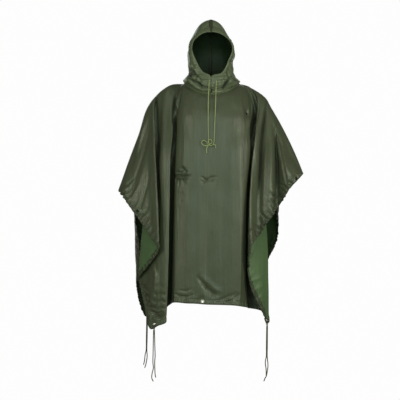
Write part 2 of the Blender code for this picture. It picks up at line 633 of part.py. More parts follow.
def hem_facet(sheet, fold, along):
    """Middle and outward direction of the sheet's mesh beside the hem, near a place."""
    places = sheet_places(sheet, GRID)
    start = int(np.argmin(abs(places - sheet.place(fold))))
    k = start if along >= 0 else start - 1
    first, second = places[k], places[k + 1]
    corners = []
    for across in (first, second):
        rows = sheet_rows(sheet, across)
        corners.append([sheet.point(across, rows[-1]), sheet.point(across, rows[-2])])
    (low_a, high_a), (low_b, high_b) = corners
    up_a = EYELET_RISE / np.linalg.norm(high_a - low_a)
    up_b = EYELET_RISE / np.linalg.norm(high_b - low_b)
    middle = (low_a + (high_a - low_a) * up_a + low_b + (high_b - low_b) * up_b) / 2
    normal = np.cross(high_a - low_b, high_b - low_a)
    if normal[1] * sheet.facing < 0:
        normal = -normal
    down = (low_a - high_a + low_b - high_b)
    return Vector(middle), Vector(normal).normalized(), Vector(down).normalized()


def build_eyelet(name, sheet, panel, tree, fold, along):
    """Two flanges on a barrel through the cloth, and the hole it goes through."""
    middle, axis, down = hem_facet(sheet, fold, along)
    top, low = highest(tree, middle, axis, EYELET_FLANGE)
    half = CLOTH_WALL / 2 + max(top, -low) + TRIM_GAP
    centre = middle - axis * (CLOTH_WALL / 2)
    profile = (
        (EYELET_HOLE, -half - EYELET_PLATE), (EYELET_FLANGE, -half - EYELET_PLATE), (EYELET_FLANGE, -half),
        (EYELET_BARREL, -half), (EYELET_BARREL, half), (EYELET_FLANGE, half),
        (EYELET_FLANGE, half + EYELET_PLATE), (EYELET_HOLE, half + EYELET_PLATE),
    )
    made = add_turned(name, profile, centre, axis, dark_metal())
    cutter_mesh = bpy.data.meshes.new(name + "_cutter")
    shape = bmesh.new()
    bmesh.ops.create_cone(
        shape, cap_ends=True, segments=TRIM_STEPS, radius1=EYELET_BARREL + TRIM_GAP,
        radius2=EYELET_BARREL + TRIM_GAP, depth=8 * CLOTH_WALL,
    )
    shape.to_mesh(cutter_mesh)
    shape.free()
    cutter = bpy.data.objects.new(name + "_cutter", cutter_mesh)
    cutters.objects.link(cutter)
    cutter.hide_render = True
    cutter.display_type = "WIRE"
    cutter.matrix_world = made.matrix_world.copy()
    cut = panel.modifiers.new(name, "BOOLEAN")
    cut.object = cutter
    cut.operation = "DIFFERENCE"
    cut.solver = "EXACT"
    return centre, axis, down


def foremost(trees, x, z):
    """The point, the direction and the tree of the first cloth met from the front."""
    found = []
    for tree in trees:
        hit, normal, _, distance = tree.ray_cast(Vector((x * MM, -1, z * MM)), Vector((0, 1, 0)))
        if hit is not None:
            found.append((distance, hit, normal, tree))
    return min(found, key=lambda row: row[0])[1:]


def build_snap(name, x, z, trees):
    hit, normal, tree = foremost(trees, x, z)
    top, _ = highest(tree, hit, normal, SNAP_REACH)
    add_turned(name, SNAP_PROFILE, hit + normal * (top + TRIM_GAP), normal, dark_metal(), MM)


def smooth_route(points, step):
    """Evenly spaced points on a smooth curve through hand-placed ones."""
    points = np.array(points, float)
    knots = np.concatenate(([0], np.cumsum(np.sqrt(np.linalg.norm(np.diff(points, axis=0), axis=1)))))
    fine = spline(knots, points, np.linspace(0, knots[-1], 40 * len(points)))
    lengths = np.concatenate(([0], np.cumsum(np.linalg.norm(np.diff(fine, axis=0), axis=1))))
    count = max(3, round(lengths[-1] / step))
    marks = np.linspace(0, lengths[-1], count + 1)
    return np.stack([np.interp(marks, lengths, fine[:, i]) for i in range(3)], axis=1)


def add_cord(name, route, step=CORD_STEP, square_start=False):
    points = smooth_route(route, step)
    if square_start:
        points = np.insert(points, 1, np.array(route[0]) * 0.5 + np.array(route[1]) * 0.5, axis=0)
    curve = bpy.data.curves.new(name, "CURVE")
    curve.dimensions = "3D"
    curve.bevel_depth = CORD_RADIUS
    curve.bevel_resolution = 2
    curve.use_fill_caps = True
    line = curve.splines.new("POLY")
    line.points.add(len(points) - 1)
    for spot, point in zip(line.points, points):
        spot.co = (*point, 1)
    made = bpy.data.objects.new(name, curve)
    made.data.materials.append(cord_olive())
    poncho.objects.link(made)
    return points


def front_of(trees, x, z):
    """Depth of the foremost cloth behind a cord at a place seen from the front."""
    return min(foremost(trees, x + shift, z)[0].y for shift in (-1.5, 0, 1.5))


def build_hood_cord(name, route, trees, knot_depth):
    """Drawcord out of the tunnel and down the chest."""
    hit, normal, _ = foremost(trees, *route[0])
    held_out = hit.y - HANG_FREE
    seen = smooth_route([(x, 0, z) for x, z in route[1:]], DEPTH_STEP)
    depths = [min(held_out, front_of(trees, x, z) - CORD_RADIUS - CORD_CLEARANCE) for x, _, z in seen]
    foremost_near = [min(depths[max(0, k - 1):k + 2]) for k in range(len(depths))]
    foremost_near[-1] = foremost_near[-2] = min(foremost_near[-1], knot_depth)
    points = [hit + normal * TRIM_GAP, hit + normal * 0.5 * HANG_FREE]
    points += [Vector((x * MM, depth, z * MM)) for (x, _, z), depth in zip(seen, foremost_near)]
    return add_cord(name, points, square_start=True)


def add_knot(name, centre, radii):
    mesh = bpy.data.meshes.new(name)
    shape = bmesh.new()
    bmesh.ops.create_uvsphere(shape, u_segments=10, v_segments=6, radius=1)
    bmesh.ops.scale(shape, vec=Vector(radii), verts=shape.verts)
    shape.to_mesh(mesh)
    shape.free()
    made = bpy.data.objects.new(name, mesh)
    made.data.materials.append(cord_olive())
    made.location = centre
    poncho.objects.link(made)
    return made


def build_corner_tie(eyelet, centre, axis, down):
    """Loop of cord through a corner eyelet and the knot that closes it; returns the knot's middle."""
    ring = centre + down * (EYELET_HOLE - CORD_RADIUS - 0.0014 + TIE_RADIUS)
    name = eyelet.replace("eyelet", "corner_loop")
    mesh = bpy.data.meshes.new(name)
    mesh.from_pydata(
        [(TIE_RADIUS + CORD_RADIUS * math.cos(a), 0, CORD_RADIUS * math.sin(a)) for a in TIE_ANGLES],
        [(i, (i + 1) % len(TIE_ANGLES)) for i in range(len(TIE_ANGLES))], [],
    )
    made = bpy.data.objects.new(name, mesh)
    made.data.materials.append(cord_olive())
    poncho.objects.link(made)
    screw = made.modifiers.new("turn", "SCREW")
    screw.steps = screw.render_steps = TRIM_STEPS
    screw.use_merge_vertices = True
    screw.merge_threshold = 1e-5
    screw.use_normal_flip = True
    side = axis.cross(down).normalized()
    made.matrix_world = Matrix.Translation(ring) @ side.to_track_quat("Z", "Y").to_matrix().to_4x4()
    knot = ring + down * (TIE_RADIUS + CORD_RADIUS + TRIM_GAP + TIE_KNOT)
    add_knot(eyelet.replace("eyelet", "corner_knot"), knot, (TIE_KNOT, TIE_KNOT, TIE_KNOT))
    return knot


def start_clean():
    for leftover in list(bpy.data.objects):
        bpy.data.objects.remove(leftover, do_unlink=True)


start_clean()
poncho = bpy.data.collections.new("rain_poncho")
bpy.context.scene.collection.children.link(poncho)
cutters = bpy.data.collections.new("rain_poncho_cutters")
bpy.context.scene.collection.children.link(cutters)
cutters.hide_render = True

front = Sheet(FRONT_FOLDS, -1)
back = Sheet(BACK_FOLDS, 1)
hood_left = Hood(HOOD_LEFT, -1)
hood_right = Hood(HOOD_RIGHT, 1)
body_front = build_sheet("body_front", front)
body_back = build_sheet("body_back", back)
front_hems = [build_side_hem("side_hem_front_left", front, -1), build_side_hem("side_hem_front_right", front, 1)]
build_side_hem("side_hem_back_left", back, -1)
build_side_hem("side_hem_back_right", back, 1)
build_hood_half("hood_left", hood_left)
build_hood_half("hood_right", hood_right)
face_tunnel = build_face_tunnel("face_tunnel", hood_left, hood_right)

bpy.context.view_layer.update()
front_tree, back_tree, tunnel_tree = (surface_tree(made) for made in (body_front, body_back, face_tunnel))
front_trees = [front_tree] + [surface_tree(made) for made in front_hems]
for name, x, z in SNAPS:
    build_snap(name, x, z, front_trees)
ties = {}
for name, fold, along in EYELETS_FRONT:
    ties[name] = build_eyelet(name, front, body_front, front_tree, fold, along)
for name, fold, along in EYELETS_BACK:
    ties[name] = build_eyelet(name, back, body_back, back_tree, fold, along)

knot_x, knot_z = BOW_KNOT
knot_depth = front_of([front_tree], knot_x, knot_z) - BOW_KNOT_RADII[1] * MM - 2 * CORD_CLEARANCE
knot = Vector((knot_x * MM, knot_depth, knot_z * MM))
add_knot("bow_knot", knot, [radius * MM for radius in BOW_KNOT_RADII])
build_hood_cord("hood_cord_left", HOOD_CORD_LEFT, (front_tree, tunnel_tree), knot_depth)
build_hood_cord("hood_cord_right", HOOD_CORD_RIGHT, (front_tree, tunnel_tree), knot_depth)
for name, route in (
    ("bow_loop_left", BOW_LOOP_LEFT), ("bow_loop_right", BOW_LOOP_RIGHT),
    ("bow_tail_left", BOW_TAIL_LEFT), ("bow_tail_right", BOW_TAIL_RIGHT),
):
    add_cord(name, [Vector((x * MM, knot_depth - out * MM, z * MM)) for x, z, out in route], 0.6 * CORD_STEP)
knots = {}
for name, eyelet, strand in CORNER_STRANDS:
    if eyelet not in knots:
        knots[eyelet] = build_corner_tie(eyelet, *ties[eyelet])
    add_cord(name, [knots[eyelet] + Vector((x * MM, depth * MM, z * MM)) for x, z, depth in strand])
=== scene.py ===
# Hooded rain poncho of coated nylon, hanging as it is worn. Its front faces -Y.
# Lengths are metres, except in the tables of folds, creases and cord routes, which are millimetres.
import math

import bmesh
import bpy
import numpy as np
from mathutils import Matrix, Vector
from mathutils.bvhtree import BVHTree


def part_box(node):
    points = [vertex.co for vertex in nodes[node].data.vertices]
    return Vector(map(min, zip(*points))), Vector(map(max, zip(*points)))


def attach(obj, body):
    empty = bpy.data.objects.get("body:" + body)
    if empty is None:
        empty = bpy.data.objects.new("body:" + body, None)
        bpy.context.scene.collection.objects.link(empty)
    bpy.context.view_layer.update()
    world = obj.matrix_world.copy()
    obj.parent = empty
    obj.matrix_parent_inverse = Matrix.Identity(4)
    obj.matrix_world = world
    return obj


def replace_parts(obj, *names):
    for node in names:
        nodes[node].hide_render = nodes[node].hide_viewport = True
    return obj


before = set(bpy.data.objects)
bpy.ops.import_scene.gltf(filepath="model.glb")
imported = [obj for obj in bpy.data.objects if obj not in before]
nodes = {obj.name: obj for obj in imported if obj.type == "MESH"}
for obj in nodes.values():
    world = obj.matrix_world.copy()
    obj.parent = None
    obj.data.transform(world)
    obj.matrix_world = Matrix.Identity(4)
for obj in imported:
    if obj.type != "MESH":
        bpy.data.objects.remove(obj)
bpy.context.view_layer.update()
mm = 0.001
print("poncho: frame loaded,", len(nodes), "nodes")

# camera, floor and light
cameraSet = {"aim": (-0.0506, -0.534), "distance": 10.0, "widthSeen": 1.84, "depthOfSubject": -0.12, "sensor": 36.0}
studio = {
    "floorHeight": -1.50, "floorRadius": 30, "floorShade": (0.28, 0.28, 0.28),
    "background": (0.985, 0.985, 0.985),
    "ambient": (0.97, 1.0, 0.95),
    "ambientStrength": 0.12,
    # name, place, aim, width and height, watts, colour
    "lamps": (
        ("softboxLeft", (-1.20, -4.3, 0.12), (0.0, -0.1, -0.30), (1.0, 1.35), 21.8, (0.735, 1.0, 0.84)),
        ("softboxRight", (1.12, -4.3, 0.12), (0.0, -0.1, -0.30), (1.0, 1.35), 24.2, (0.735, 1.0, 0.84)),
        ("softboxHigh", (0.05, -3.9, 1.1), (0.0, -0.1, -0.20), (1.8, 0.7), 11.5, (0.92, 1.0, 0.86)),
        ("sideLeft", (-2.9, -2.9, 0.4), (0.0, -0.1, -0.50), (0.9, 2.0), 41.0, (0.96, 1.0, 0.76)),
        ("sideRight", (2.9, -2.9, 0.4), (0.0, -0.1, -0.50), (0.9, 2.0), 67.0, (0.94, 1.0, 0.77)),
        ("softboxTop", (0.1, -1.6, 2.4), (0.0, -0.1, 0.1), (1.2, 1.0), 6.0, (0.95, 1.0, 0.88)),
        ("softboxBack", (-0.3, 4.6, 0.5), (0.0, 0.1, -0.4), (4.2, 3.0), 58.0, (0.88, 1.0, 0.86)),
    ),
}


def placeCamera():
    data = bpy.data.cameras.new("studioCamera")
    eye = bpy.data.objects.new("studioCamera", data)
    bpy.context.scene.collection.objects.link(eye)
    eye.location = (cameraSet["aim"][0], -cameraSet["distance"], cameraSet["aim"][1])
    eye.rotation_euler = (math.pi / 2, 0, 0)
    data.sensor_width = cameraSet["sensor"]
    data.lens = cameraSet["sensor"] * (cameraSet["distance"] + cameraSet["depthOfSubject"]) / cameraSet["widthSeen"]
    bpy.context.scene.camera = eye


def seenApart(tree, lights, seen, outKind):
    # the camera meets one shader, and everything else the other
    path = tree.nodes.new("ShaderNodeLightPath")
    mix = tree.nodes.new("ShaderNodeMixShader")
    out = tree.nodes.new(outKind)
    tree.links.new(path.outputs["Is Camera Ray"], mix.inputs[0])
    tree.links.new(lights.outputs[0], mix.inputs[1])
    tree.links.new(seen.outputs[0], mix.inputs[2])
    tree.links.new(mix.outputs[0], out.inputs[0])


def placeLamps():
    for name, place, aim, size, watts, colour in studio["lamps"]:
        data = bpy.data.lights.new(name, "AREA")
        data.shape = "RECTANGLE"
        data.size, data.size_y = size
        data.energy = watts
        data.color = colour
        lamp = bpy.data.objects.new(name, data)
        lamp.location = place
        lamp.rotation_euler = (Vector(aim) - Vector(place)).to_track_quat("-Z", "Y").to_euler()
        bpy.context.scene.collection.objects.link(lamp)
    world = bpy.data.worlds.new("studioWorld")
    bpy.context.scene.world = world
    world.use_nodes = True
    tree = world.node_tree
    tree.nodes.clear()
    seen = tree.nodes.new("ShaderNodeBackground")
    seen.inputs["Color"].default_value = (*studio["background"], 1)
    lit = tree.nodes.new("ShaderNodeBackground")
    lit.inputs["Color"].default_value = (*studio["ambient"], 1)
    lit.inputs["Strength"].default_value = studio["ambientStrength"]
    seenApart(tree, lit, seen, "ShaderNodeOutputWorld")


def layFloor():
    shape = bmesh.new()
    bmesh.ops.create_circle(shape, cap_ends=True, segments=96, radius=studio["floorRadius"])
    mesh = bpy.data.meshes.new("studioFloor")
    shape.to_mesh(mesh)
    shape.free()
    floor = bpy.data.objects.new("studioFloor", mesh)
    floor.location.z = studio["floorHeight"]
    bpy.context.scene.collection.objects.link(floor)
    paint = bpy.data.materials.new("studioFloor")
    paint.use_nodes = True
    tree = paint.node_tree
    tree.nodes.clear()
    glow = tree.nodes.new("ShaderNodeEmission")
    glow.inputs["Color"].default_value = (*studio["background"], 1)
    matt = tree.nodes.new("ShaderNodeBsdfDiffuse")
    matt.inputs["Color"].default_value = (*studio["floorShade"], 1)
    seenApart(tree, matt, glow, "ShaderNodeOutputMaterial")
    mesh.materials.append(paint)


placeCamera()
placeLamps()
layFloor()
bpy.context.scene.view_settings.view_transform = "Standard"
print("poncho: camera, floor and lamps are placed")

# finishes
clothPattern = {
    "threadEvery": 0.0006,
    # how fast each noise runs along its three axes, and its detail
    "broad": ((9, 9, 2.5), 3.0), "streaks": ((34, 20, 2.2), 3.0), "crumple": ((55, 55, 38), 4.0),
    "crepe": ((260, 260, 260), 2.0), "gathers": ((150, 13, 1), 2.0),
    # painted shade in the creases: they start to be painted darker and made duller at one depth, and are darkest at
    # the other
    "paintedShadeFrom": 0.0028, "paintedShadeTo": 0.0135, "paintedShadeShare": 0.85, "paintedCreaseShade": 0.12, "creaseDull": 0.45,
    "threadShare": 0.10, "threadPale": 1.6, "sheenRoughness": 0.4,
    # how deep each kind of relief is
    "relief": {"streaks": 0.010, "crumple": 0.004, "gathers": 0.010, "crepe": 0.0006, "weave": 0.0002},
    # gathers fade out between these distances from the hem
    "gathersFrom": 0.006, "gathersTo": 0.062,
}
nylonOuter = {
    "shade": (0.055, 0.061, 0.035), "pale": (0.069, 0.076, 0.045), "roughness": (0.34, 0.46), "specular": 0.5,
    "sheen": 0.04, "streaks": 0.34, "crinkle": 0.24, "gathers": 0.65, "weave": 0.05,
}
nylonInner = {
    "shade": (0.068, 0.112, 0.048), "pale": (0.084, 0.136, 0.060), "roughness": (0.44, 0.56), "specular": 0.45,
    "sheen": 0.05, "streaks": 0.16, "crinkle": 0.10, "gathers": 0.45, "weave": 0.04,
}
# the hood's nylon is the outer nylon painted much paler, as painted light on the hood
paintedLightHoodColours = {
    "shade": (0.089, 0.101, 0.058), "pale": (0.118, 0.133, 0.079), "roughness": (0.36, 0.48), "specular": 0.5,
    "sheen": 0.05, "streaks": 0.12, "crinkle": 0.34, "gathers": 0.0, "weave": 0.05,
}
# the hood's lining is the inner nylon painted much darker, as painted shade inside the hood
paintedShadeLiningColours = {
    "shade": (0.028, 0.046, 0.021), "pale": (0.036, 0.057, 0.027), "roughness": (0.50, 0.60), "specular": 0.3,
    "sheen": 0.03, "streaks": 0.10, "crinkle": 0.12, "gathers": 0.0, "weave": 0.04,
}
nylonHem = {
    "shade": (0.036, 0.038, 0.022), "pale": (0.048, 0.050, 0.029), "roughness": (0.46, 0.56), "specular": 0.4,
    "sheen": 0.03, "streaks": 0.10, "crinkle": 0.24, "gathers": 0.0, "weave": 0.05,
}
# the neck seam's nylon is the outer nylon painted paler, as a painted highlight along the seam
paintedHighlightSeamColours = {
    "shade": (0.078, 0.088, 0.050), "pale": (0.105, 0.118, 0.068), "roughness": (0.36, 0.48), "specular": 0.5,
    "sheen": 0.05, "streaks": 0.10, "crinkle": 0.30, "gathers": 0.0, "weave": 0.05,
}
plait = {"every": 0.0032, "strands": 4, "blend": 0.6, "sheen": 0.25, "relief": (0.5, 0.0004)}
drawCordFinish = {"shade": (0.225, 0.25, 0.09), "pale": (0.45, 0.485, 0.215), "roughness": 0.72}
# the corner cords are the drawcord painted much darker, as painted shade
paintedShadeCornerColours = {"shade": (0.030, 0.035, 0.013), "pale": (0.085, 0.092, 0.040), "roughness": 0.75}
threadFinish = {"shade": (0.050, 0.058, 0.034), "pale": 1.5, "roughness": 0.65, "twist": 900.0}
metalWear = {"spots": 220.0, "from": 0.45, "to": 0.75, "metallic": 0.9, "relief": (0.15, 0.0003)}
metalFinish = {"shade": (0.022, 0.023, 0.020), "worn": (0.11, 0.105, 0.09), "roughness": (0.28, 0.46)}
brassFinish = {"shade": (0.32, 0.30, 0.24), "worn": (0.52, 0.50, 0.43), "roughness": (0.24, 0.40)}


def nodeOf(tree, kind, **values):
    made = tree.nodes.new(kind)
    for key, value in values.items():
        if key in made.inputs:
            made.inputs[key].default_value = value
        else:
            setattr(made, key, value)
    return made


def mathNode(tree, operation, first, second=0.0, third=0.0):
    made = tree.nodes.new("ShaderNodeMath")
    made.operation = operation
    for slot, value in enumerate((first, second, third)):
        if isinstance(value, (int, float)):
            made.inputs[slot].default_value = value
        else:
            tree.links.new(value, made.inputs[slot])
    return made.outputs[0]


def mixColour(tree, share, first, second):
    made = tree.nodes.new("ShaderNodeMix")
    made.data_type = "RGBA"
    for slot, value in ((made.inputs[0], share), (made.inputs[6], first), (made.inputs[7], second)):
        if isinstance(value, tuple):
            slot.default_value = (*value, 1)
        elif isinstance(value, (int, float)):
            slot.default_value = value
        else:
            tree.links.new(value, slot)
    return made.outputs[2]


def spread(tree, value, low, high, toLow=0.0, toHigh=1.0):
    made = tree.nodes.new("ShaderNodeMapRange")
    tree.links.new(value, made.inputs[0])
    for slot, number in zip(range(1, 5), (low, high, toLow, toHigh)):
        made.inputs[slot].default_value = number
    return made.outputs[0]


def newFinish(name):
    made = bpy.data.materials.new(name)
    made.use_nodes = True
    tree = made.node_tree
    return made, tree, tree.nodes["Principled BSDF"]


def stretched(tree, vector, scale, detail):
    # noise drawn out by a different scale along each axis
    mapping = nodeOf(tree, "ShaderNodeMapping", Scale=scale)
    tree.links.new(vector, mapping.inputs["Vector"])
    return noiseOf(tree, mapping.outputs[0], Scale=1.0, Detail=detail, Roughness=0.55)


def noiseOf(tree, vector, **values):
    made = nodeOf(tree, "ShaderNodeTexNoise", **values)
    tree.links.new(vector, made.inputs["Vector"])
    return made.outputs["Fac"]


def layoutOf(tree, name):
    return nodeOf(tree, "ShaderNodeUVMap", uv_map=name).outputs["UV"]


def axesOf(tree, vector):
    made = nodeOf(tree, "ShaderNodeSeparateXYZ")
    tree.links.new(vector, made.inputs[0])
    return made.outputs


def raised(tree, height, strength, distance, over=None):
    made = nodeOf(tree, "ShaderNodeBump", Strength=strength, Distance=distance)
    tree.links.new(height, made.inputs["Height"])
    if over is not None:
        tree.links.new(over, made.inputs["Normal"])
    return made.outputs[0]


def clothFinish(name, look):
    made, tree, shader = newFinish(name)
    place = nodeOf(tree, "ShaderNodeTexCoord").outputs["Object"]
    weaveUv, edgeUv = layoutOf(tree, "cloth"), layoutOf(tree, "edge")
    broad, streaks, crumple, crepe, gathers = (
        stretched(tree, edgeUv if kind == "gathers" else place, *clothPattern[kind])
        for kind in ("broad", "streaks", "crumple", "crepe", "gathers")
    )
    scale = math.tau / 20 / clothPattern["threadEvery"]
    warp = nodeOf(tree, "ShaderNodeTexWave", bands_direction="X", Scale=scale)
    weft = nodeOf(tree, "ShaderNodeTexWave", bands_direction="Y", Scale=scale)
    for wave in (warp, weft):
        tree.links.new(weaveUv, wave.inputs["Vector"])
    threads = mathNode(tree, "MAXIMUM", warp.outputs["Fac"], weft.outputs["Fac"])
    tone = spread(tree, broad, 0.3, 0.7)
    colour = mixColour(tree, tone, look["shade"], look["pale"])
    # painted shade: the bottom of a deep crease is painted darker, and made duller
    folded = axesOf(tree, layoutOf(tree, "fold"))[0]
    deep = spread(tree, folded, clothPattern["paintedShadeFrom"], clothPattern["paintedShadeTo"])
    for value, share, factor, tone in (
        (deep, "paintedShadeShare", "paintedCreaseShade", "shade"), (threads, "threadShare", "threadPale", "pale"),
    ):
        towards = tuple(clothPattern[factor] * c for c in look[tone])
        colour = mixColour(tree, mathNode(tree, "MULTIPLY", value, clothPattern[share]), colour, towards)
    tree.links.new(colour, shader.inputs["Base Color"])
    rough = spread(tree, streaks, 0.3, 0.7, *look["roughness"])
    rough = mathNode(tree, "MULTIPLY_ADD", deep, clothPattern["creaseDull"], rough)
    tree.links.new(rough, shader.inputs["Roughness"])
    shader.inputs["Specular IOR Level"].default_value = look["specular"]
    shader.inputs["Sheen Weight"].default_value = look["sheen"]
    shader.inputs["Sheen Roughness"].default_value = clothPattern["sheenRoughness"]
    # gathers fade out with the distance from the hem, which the edge layout holds as its second number
    fromHem = axesOf(tree, edgeUv)[1]
    fading = spread(tree, fromHem, clothPattern["gathersFrom"], clothPattern["gathersTo"], 1.0, 0.0)
    gathered = mathNode(tree, "MULTIPLY", mathNode(tree, "MULTIPLY", gathers, fading), fading)
    normal = None
    for kind, height, strength in (
        ("streaks", streaks, "streaks"), ("crumple", crumple, "crinkle"), ("gathers", gathered, "gathers"),
        ("crepe", crepe, "crinkle"), ("weave", threads, "weave"),
    ):
        normal = raised(tree, height, look[strength], clothPattern["relief"][kind], normal)
    tree.links.new(normal, shader.inputs["Normal"])
    return made


def cordFinishOf(name, look):
    made, tree, shader = newFinish(name)
    parts = axesOf(tree, layoutOf(tree, "cloth"))
    runs = mathNode(tree, "MULTIPLY", parts[1], math.tau / plait["every"])
    turns = mathNode(tree, "MULTIPLY", parts[0], plait["strands"] * math.tau)
    oneWay = mathNode(tree, "SINE", mathNode(tree, "ADD", runs, turns))
    otherWay = mathNode(tree, "SINE", mathNode(tree, "SUBTRACT", runs, turns))
    height = mathNode(tree, "MULTIPLY", oneWay, otherWay)
    tone = spread(tree, height, -plait["blend"], plait["blend"])
    colour = mixColour(tree, tone, look["shade"], look["pale"])
    tree.links.new(colour, shader.inputs["Base Color"])
    shader.inputs["Roughness"].default_value = look["roughness"]
    shader.inputs["Sheen Weight"].default_value = plait["sheen"]
    tree.links.new(raised(tree, height, *plait["relief"]), shader.inputs["Normal"])
    return made


def threadFinishOf(name, look):
    made, tree, shader = newFinish(name)
    place = nodeOf(tree, "ShaderNodeTexCoord").outputs["Object"]
    twist = noiseOf(tree, place, Scale=look["twist"], Detail=1.0)
    colour = mixColour(tree, twist, look["shade"], tuple(look["pale"] * c for c in look["shade"]))
    tree.links.new(colour, shader.inputs["Base Color"])
    shader.inputs["Roughness"].default_value = look["roughness"]
    return made


def metalFinishOf(name, look):
    made, tree, shader = newFinish(name)
    place = nodeOf(tree, "ShaderNodeTexCoord").outputs["Object"]
    rubbed = noiseOf(tree, place, Scale=metalWear["spots"], Detail=4.0)
    share = spread(tree, rubbed, metalWear["from"], metalWear["to"])
    tree.links.new(mixColour(tree, share, look["shade"], look["worn"]), shader.inputs["Base Color"])
    tree.links.new(spread(tree, rubbed, 0.3, 0.7, *look["roughness"]), shader.inputs["Roughness"])
    shader.inputs["Metallic"].default_value = metalWear["metallic"]
    tree.links.new(raised(tree, rubbed, *metalWear["relief"]), shader.inputs["Normal"])
    return made


outerNylon = clothFinish("coatedNylonOuter", nylonOuter)
innerNylon = clothFinish("coatedNylonInner", nylonInner)
paintedLightHoodFinish = clothFinish("coatedNylonPaintedLightHood", paintedLightHoodColours)
hemNylon = clothFinish("coatedNylonHem", nylonHem)
paintedHighlightSeamFinish = clothFinish("coatedNylonPaintedHighlightSeam", paintedHighlightSeamColours)
paintedShadeLiningFinish = clothFinish("coatedNylonPaintedShadeLining", paintedShadeLiningColours)
drawCord = cordFinishOf("drawCordOlive", drawCordFinish)
paintedShadeCornerCord = cordFinishOf("cornerCordOlive", paintedShadeCornerColours)
hemThread = threadFinishOf("hemThread", threadFinish)
blackenedMetal = metalFinishOf("blackenedMetal", metalFinish)
eyeletMetal = metalFinishOf("eyeletMetal", brassFinish)
print("poncho: finishes are mixed")

# the cut and its folds
neck = {
    "centreX": 0.004, "halfWidth": 0.128, "front": 0.128, "back": 0.108, "sideHeight": 0.006,
    "frontDrop": 0.052, "frontCurve": 1.8, "backRise": 0.014,
}
# how the cloth leaves its top edge: straight out, down, and fanned out beside the neck
topRun = {"out": 0.9, "outLess": 0.3, "down": 0.12, "downMore": 0.58, "fan": math.radians(58), "fanOver": 0.3}
# ridge line of each shoulder and arm, from the neck to the sleeve corner: x and z
shoulders = {
    "left": ((-173, 4), (-214, -17), (-273, -70), (-288, -91), (-337, -232), (-373, -328), (-430, -491)),
    "right": ((161, -2), (202, -23), (232, -41), (258, -64), (276, -97), (320, -175), (390, -322), (426, -413)),
    "forwardLeft": 0.040, "forwardRight": 0.110, "forwardCurve": 1.5,
}
stations = (0.0, 0.25, 0.5, 0.75, 1.0)
# One row for each fold line from the left sleeve to the right one: where it starts along the top
# edge, the height it hangs to, then its x and its depth at four stations down its length.
frontFolds = (
    # name, seat, end, x25, x50, x75, x100, depth25, depth50, depth75, depth100
    ("cuff_left", -1.86, -534, -402, -402, -401, -397, 62, 78, 92, 98),
    ("sleeve_left_low", -1.68, -591, -364, -363, -362, -356, 66, 95, 115, 125),
    ("sleeve_left_mid", -1.5, -650, -326, -324, -320, -313, 72, 112, 140, 152),
    ("sleeve_left_high", -1.36, -708, -294, -290, -283, -274, 80, 128, 162, 178),
    ("pleat_left_edge", -1.245, -757, -258, -252, -243, -237, 101, 156, 193, 210),
    ("pleat_left_back", -1.235, -763, -257, -251, -241, -235, 94, 147, 183, 200),
    ("flap_left", -1.225, -823, -262, -271, -278, -278, 78, 118, 145, 160),
    ("flap_left_turn", -1.215, -898, -270, -296, -317, -335, 61, 83, 93, 97),
    ("flap_left_back", -1.205, -908, -270, -296, -317, -334, 55, 74, 84, 87),
    ("side_left", -1.19, -1007, -258, -281, -299, -310, 62, 86, 102, 118),
    ("corner_left", -1.15, -1122, -235, -251, -269, -281, 92, 128, 148, 160),
    ("hem_left", -1.08, -1108, -226, -232, -237, -241, 134, 160, 176, 184),
    ("lip_left", -1.0, -1090, -180, -189, -194, -203, 150, 180, 194, 198),
    ("valley_left", -0.97, -1052, -176, -210, -225, -229, 114, 91, 87, 91),
    ("valley_left_inner", -0.95, -1045, -167, -203, -216, -219, 110, 88, 84, 88),
    ("wall_left", -0.92, -1005, -157, -168, -174, -179, 138, 152, 158, 160),
    ("centre_left_outer", -0.74, -1006, -124, -116, -112, -112, 163, 180, 185, 186),
    ("centre_left_inner", -0.42, -1007, -74, -72, -70, -70, 177, 189, 192, 192),
    ("centre", 0, -1011, 0, -9, -18, -23, 180, 190, 192, 192),
    ("centre_right_inner", 0.4, -1013, 69, 62, 55, 51, 176, 188, 191, 191),
    ("centre_right_outer", 0.7, -1016, 129, 122, 115, 108, 166, 182, 186, 186),
    ("wall_right", 0.88, -1024, 178, 168, 162, 154, 136, 160, 162, 158),
    ("valley_right", 0.95, -1034, 184, 189, 195, 200, 84, 84, 92, 112),
    ("valley_right_outer", 0.988, -1047, 202, 218, 228, 236, 72, 87, 98, 114),
    ("flap_right_turn", 1.02, -1092, 221, 248, 262, 266, 62, 92, 106, 122),
    ("corner_right", 1.05, -1099, 216, 235, 246, 253, 78, 112, 130, 142),
    ("flap_right_low", 1.07, -1044, 212, 214, 221, 232, 92, 130, 150, 160),
    ("flap_right_mid", 1.09, -938, 209, 195, 184, 182, 104, 148, 172, 180),
    ("flap_right_high", 1.103, -862, 207, 187, 173, 168, 110, 154, 178, 185),
    ("flap_right_fold", 1.117, -828, 207, 186, 172, 167, 116, 162, 187, 196),
    ("pleat_right_edge", 1.15, -745, 207, 187, 178, 183, 120, 172, 204, 216),
    ("furrow_right", 1.27, -697, 244, 228, 219, 218, 108, 150, 172, 184),
    ("ridge_right", 1.34, -655, 262, 246, 240, 241, 113, 166, 191, 201),
    ("ridge_right_far", 1.425, -598, 288, 288, 287, 289, 110, 163, 186, 196),
    ("crease_right", 1.46, -570, 299, 301, 303, 305, 100, 134, 150, 160),
    ("rib_right", 1.54, -513, 312, 322, 331, 340, 110, 152, 176, 190),
    ("cuff_right_high", 1.7, -474, 355, 358, 362, 368, 106, 138, 158, 172),
    ("cuff_right", 1.86, -443, 391, 392, 394, 397, 112, 128, 140, 146),
)
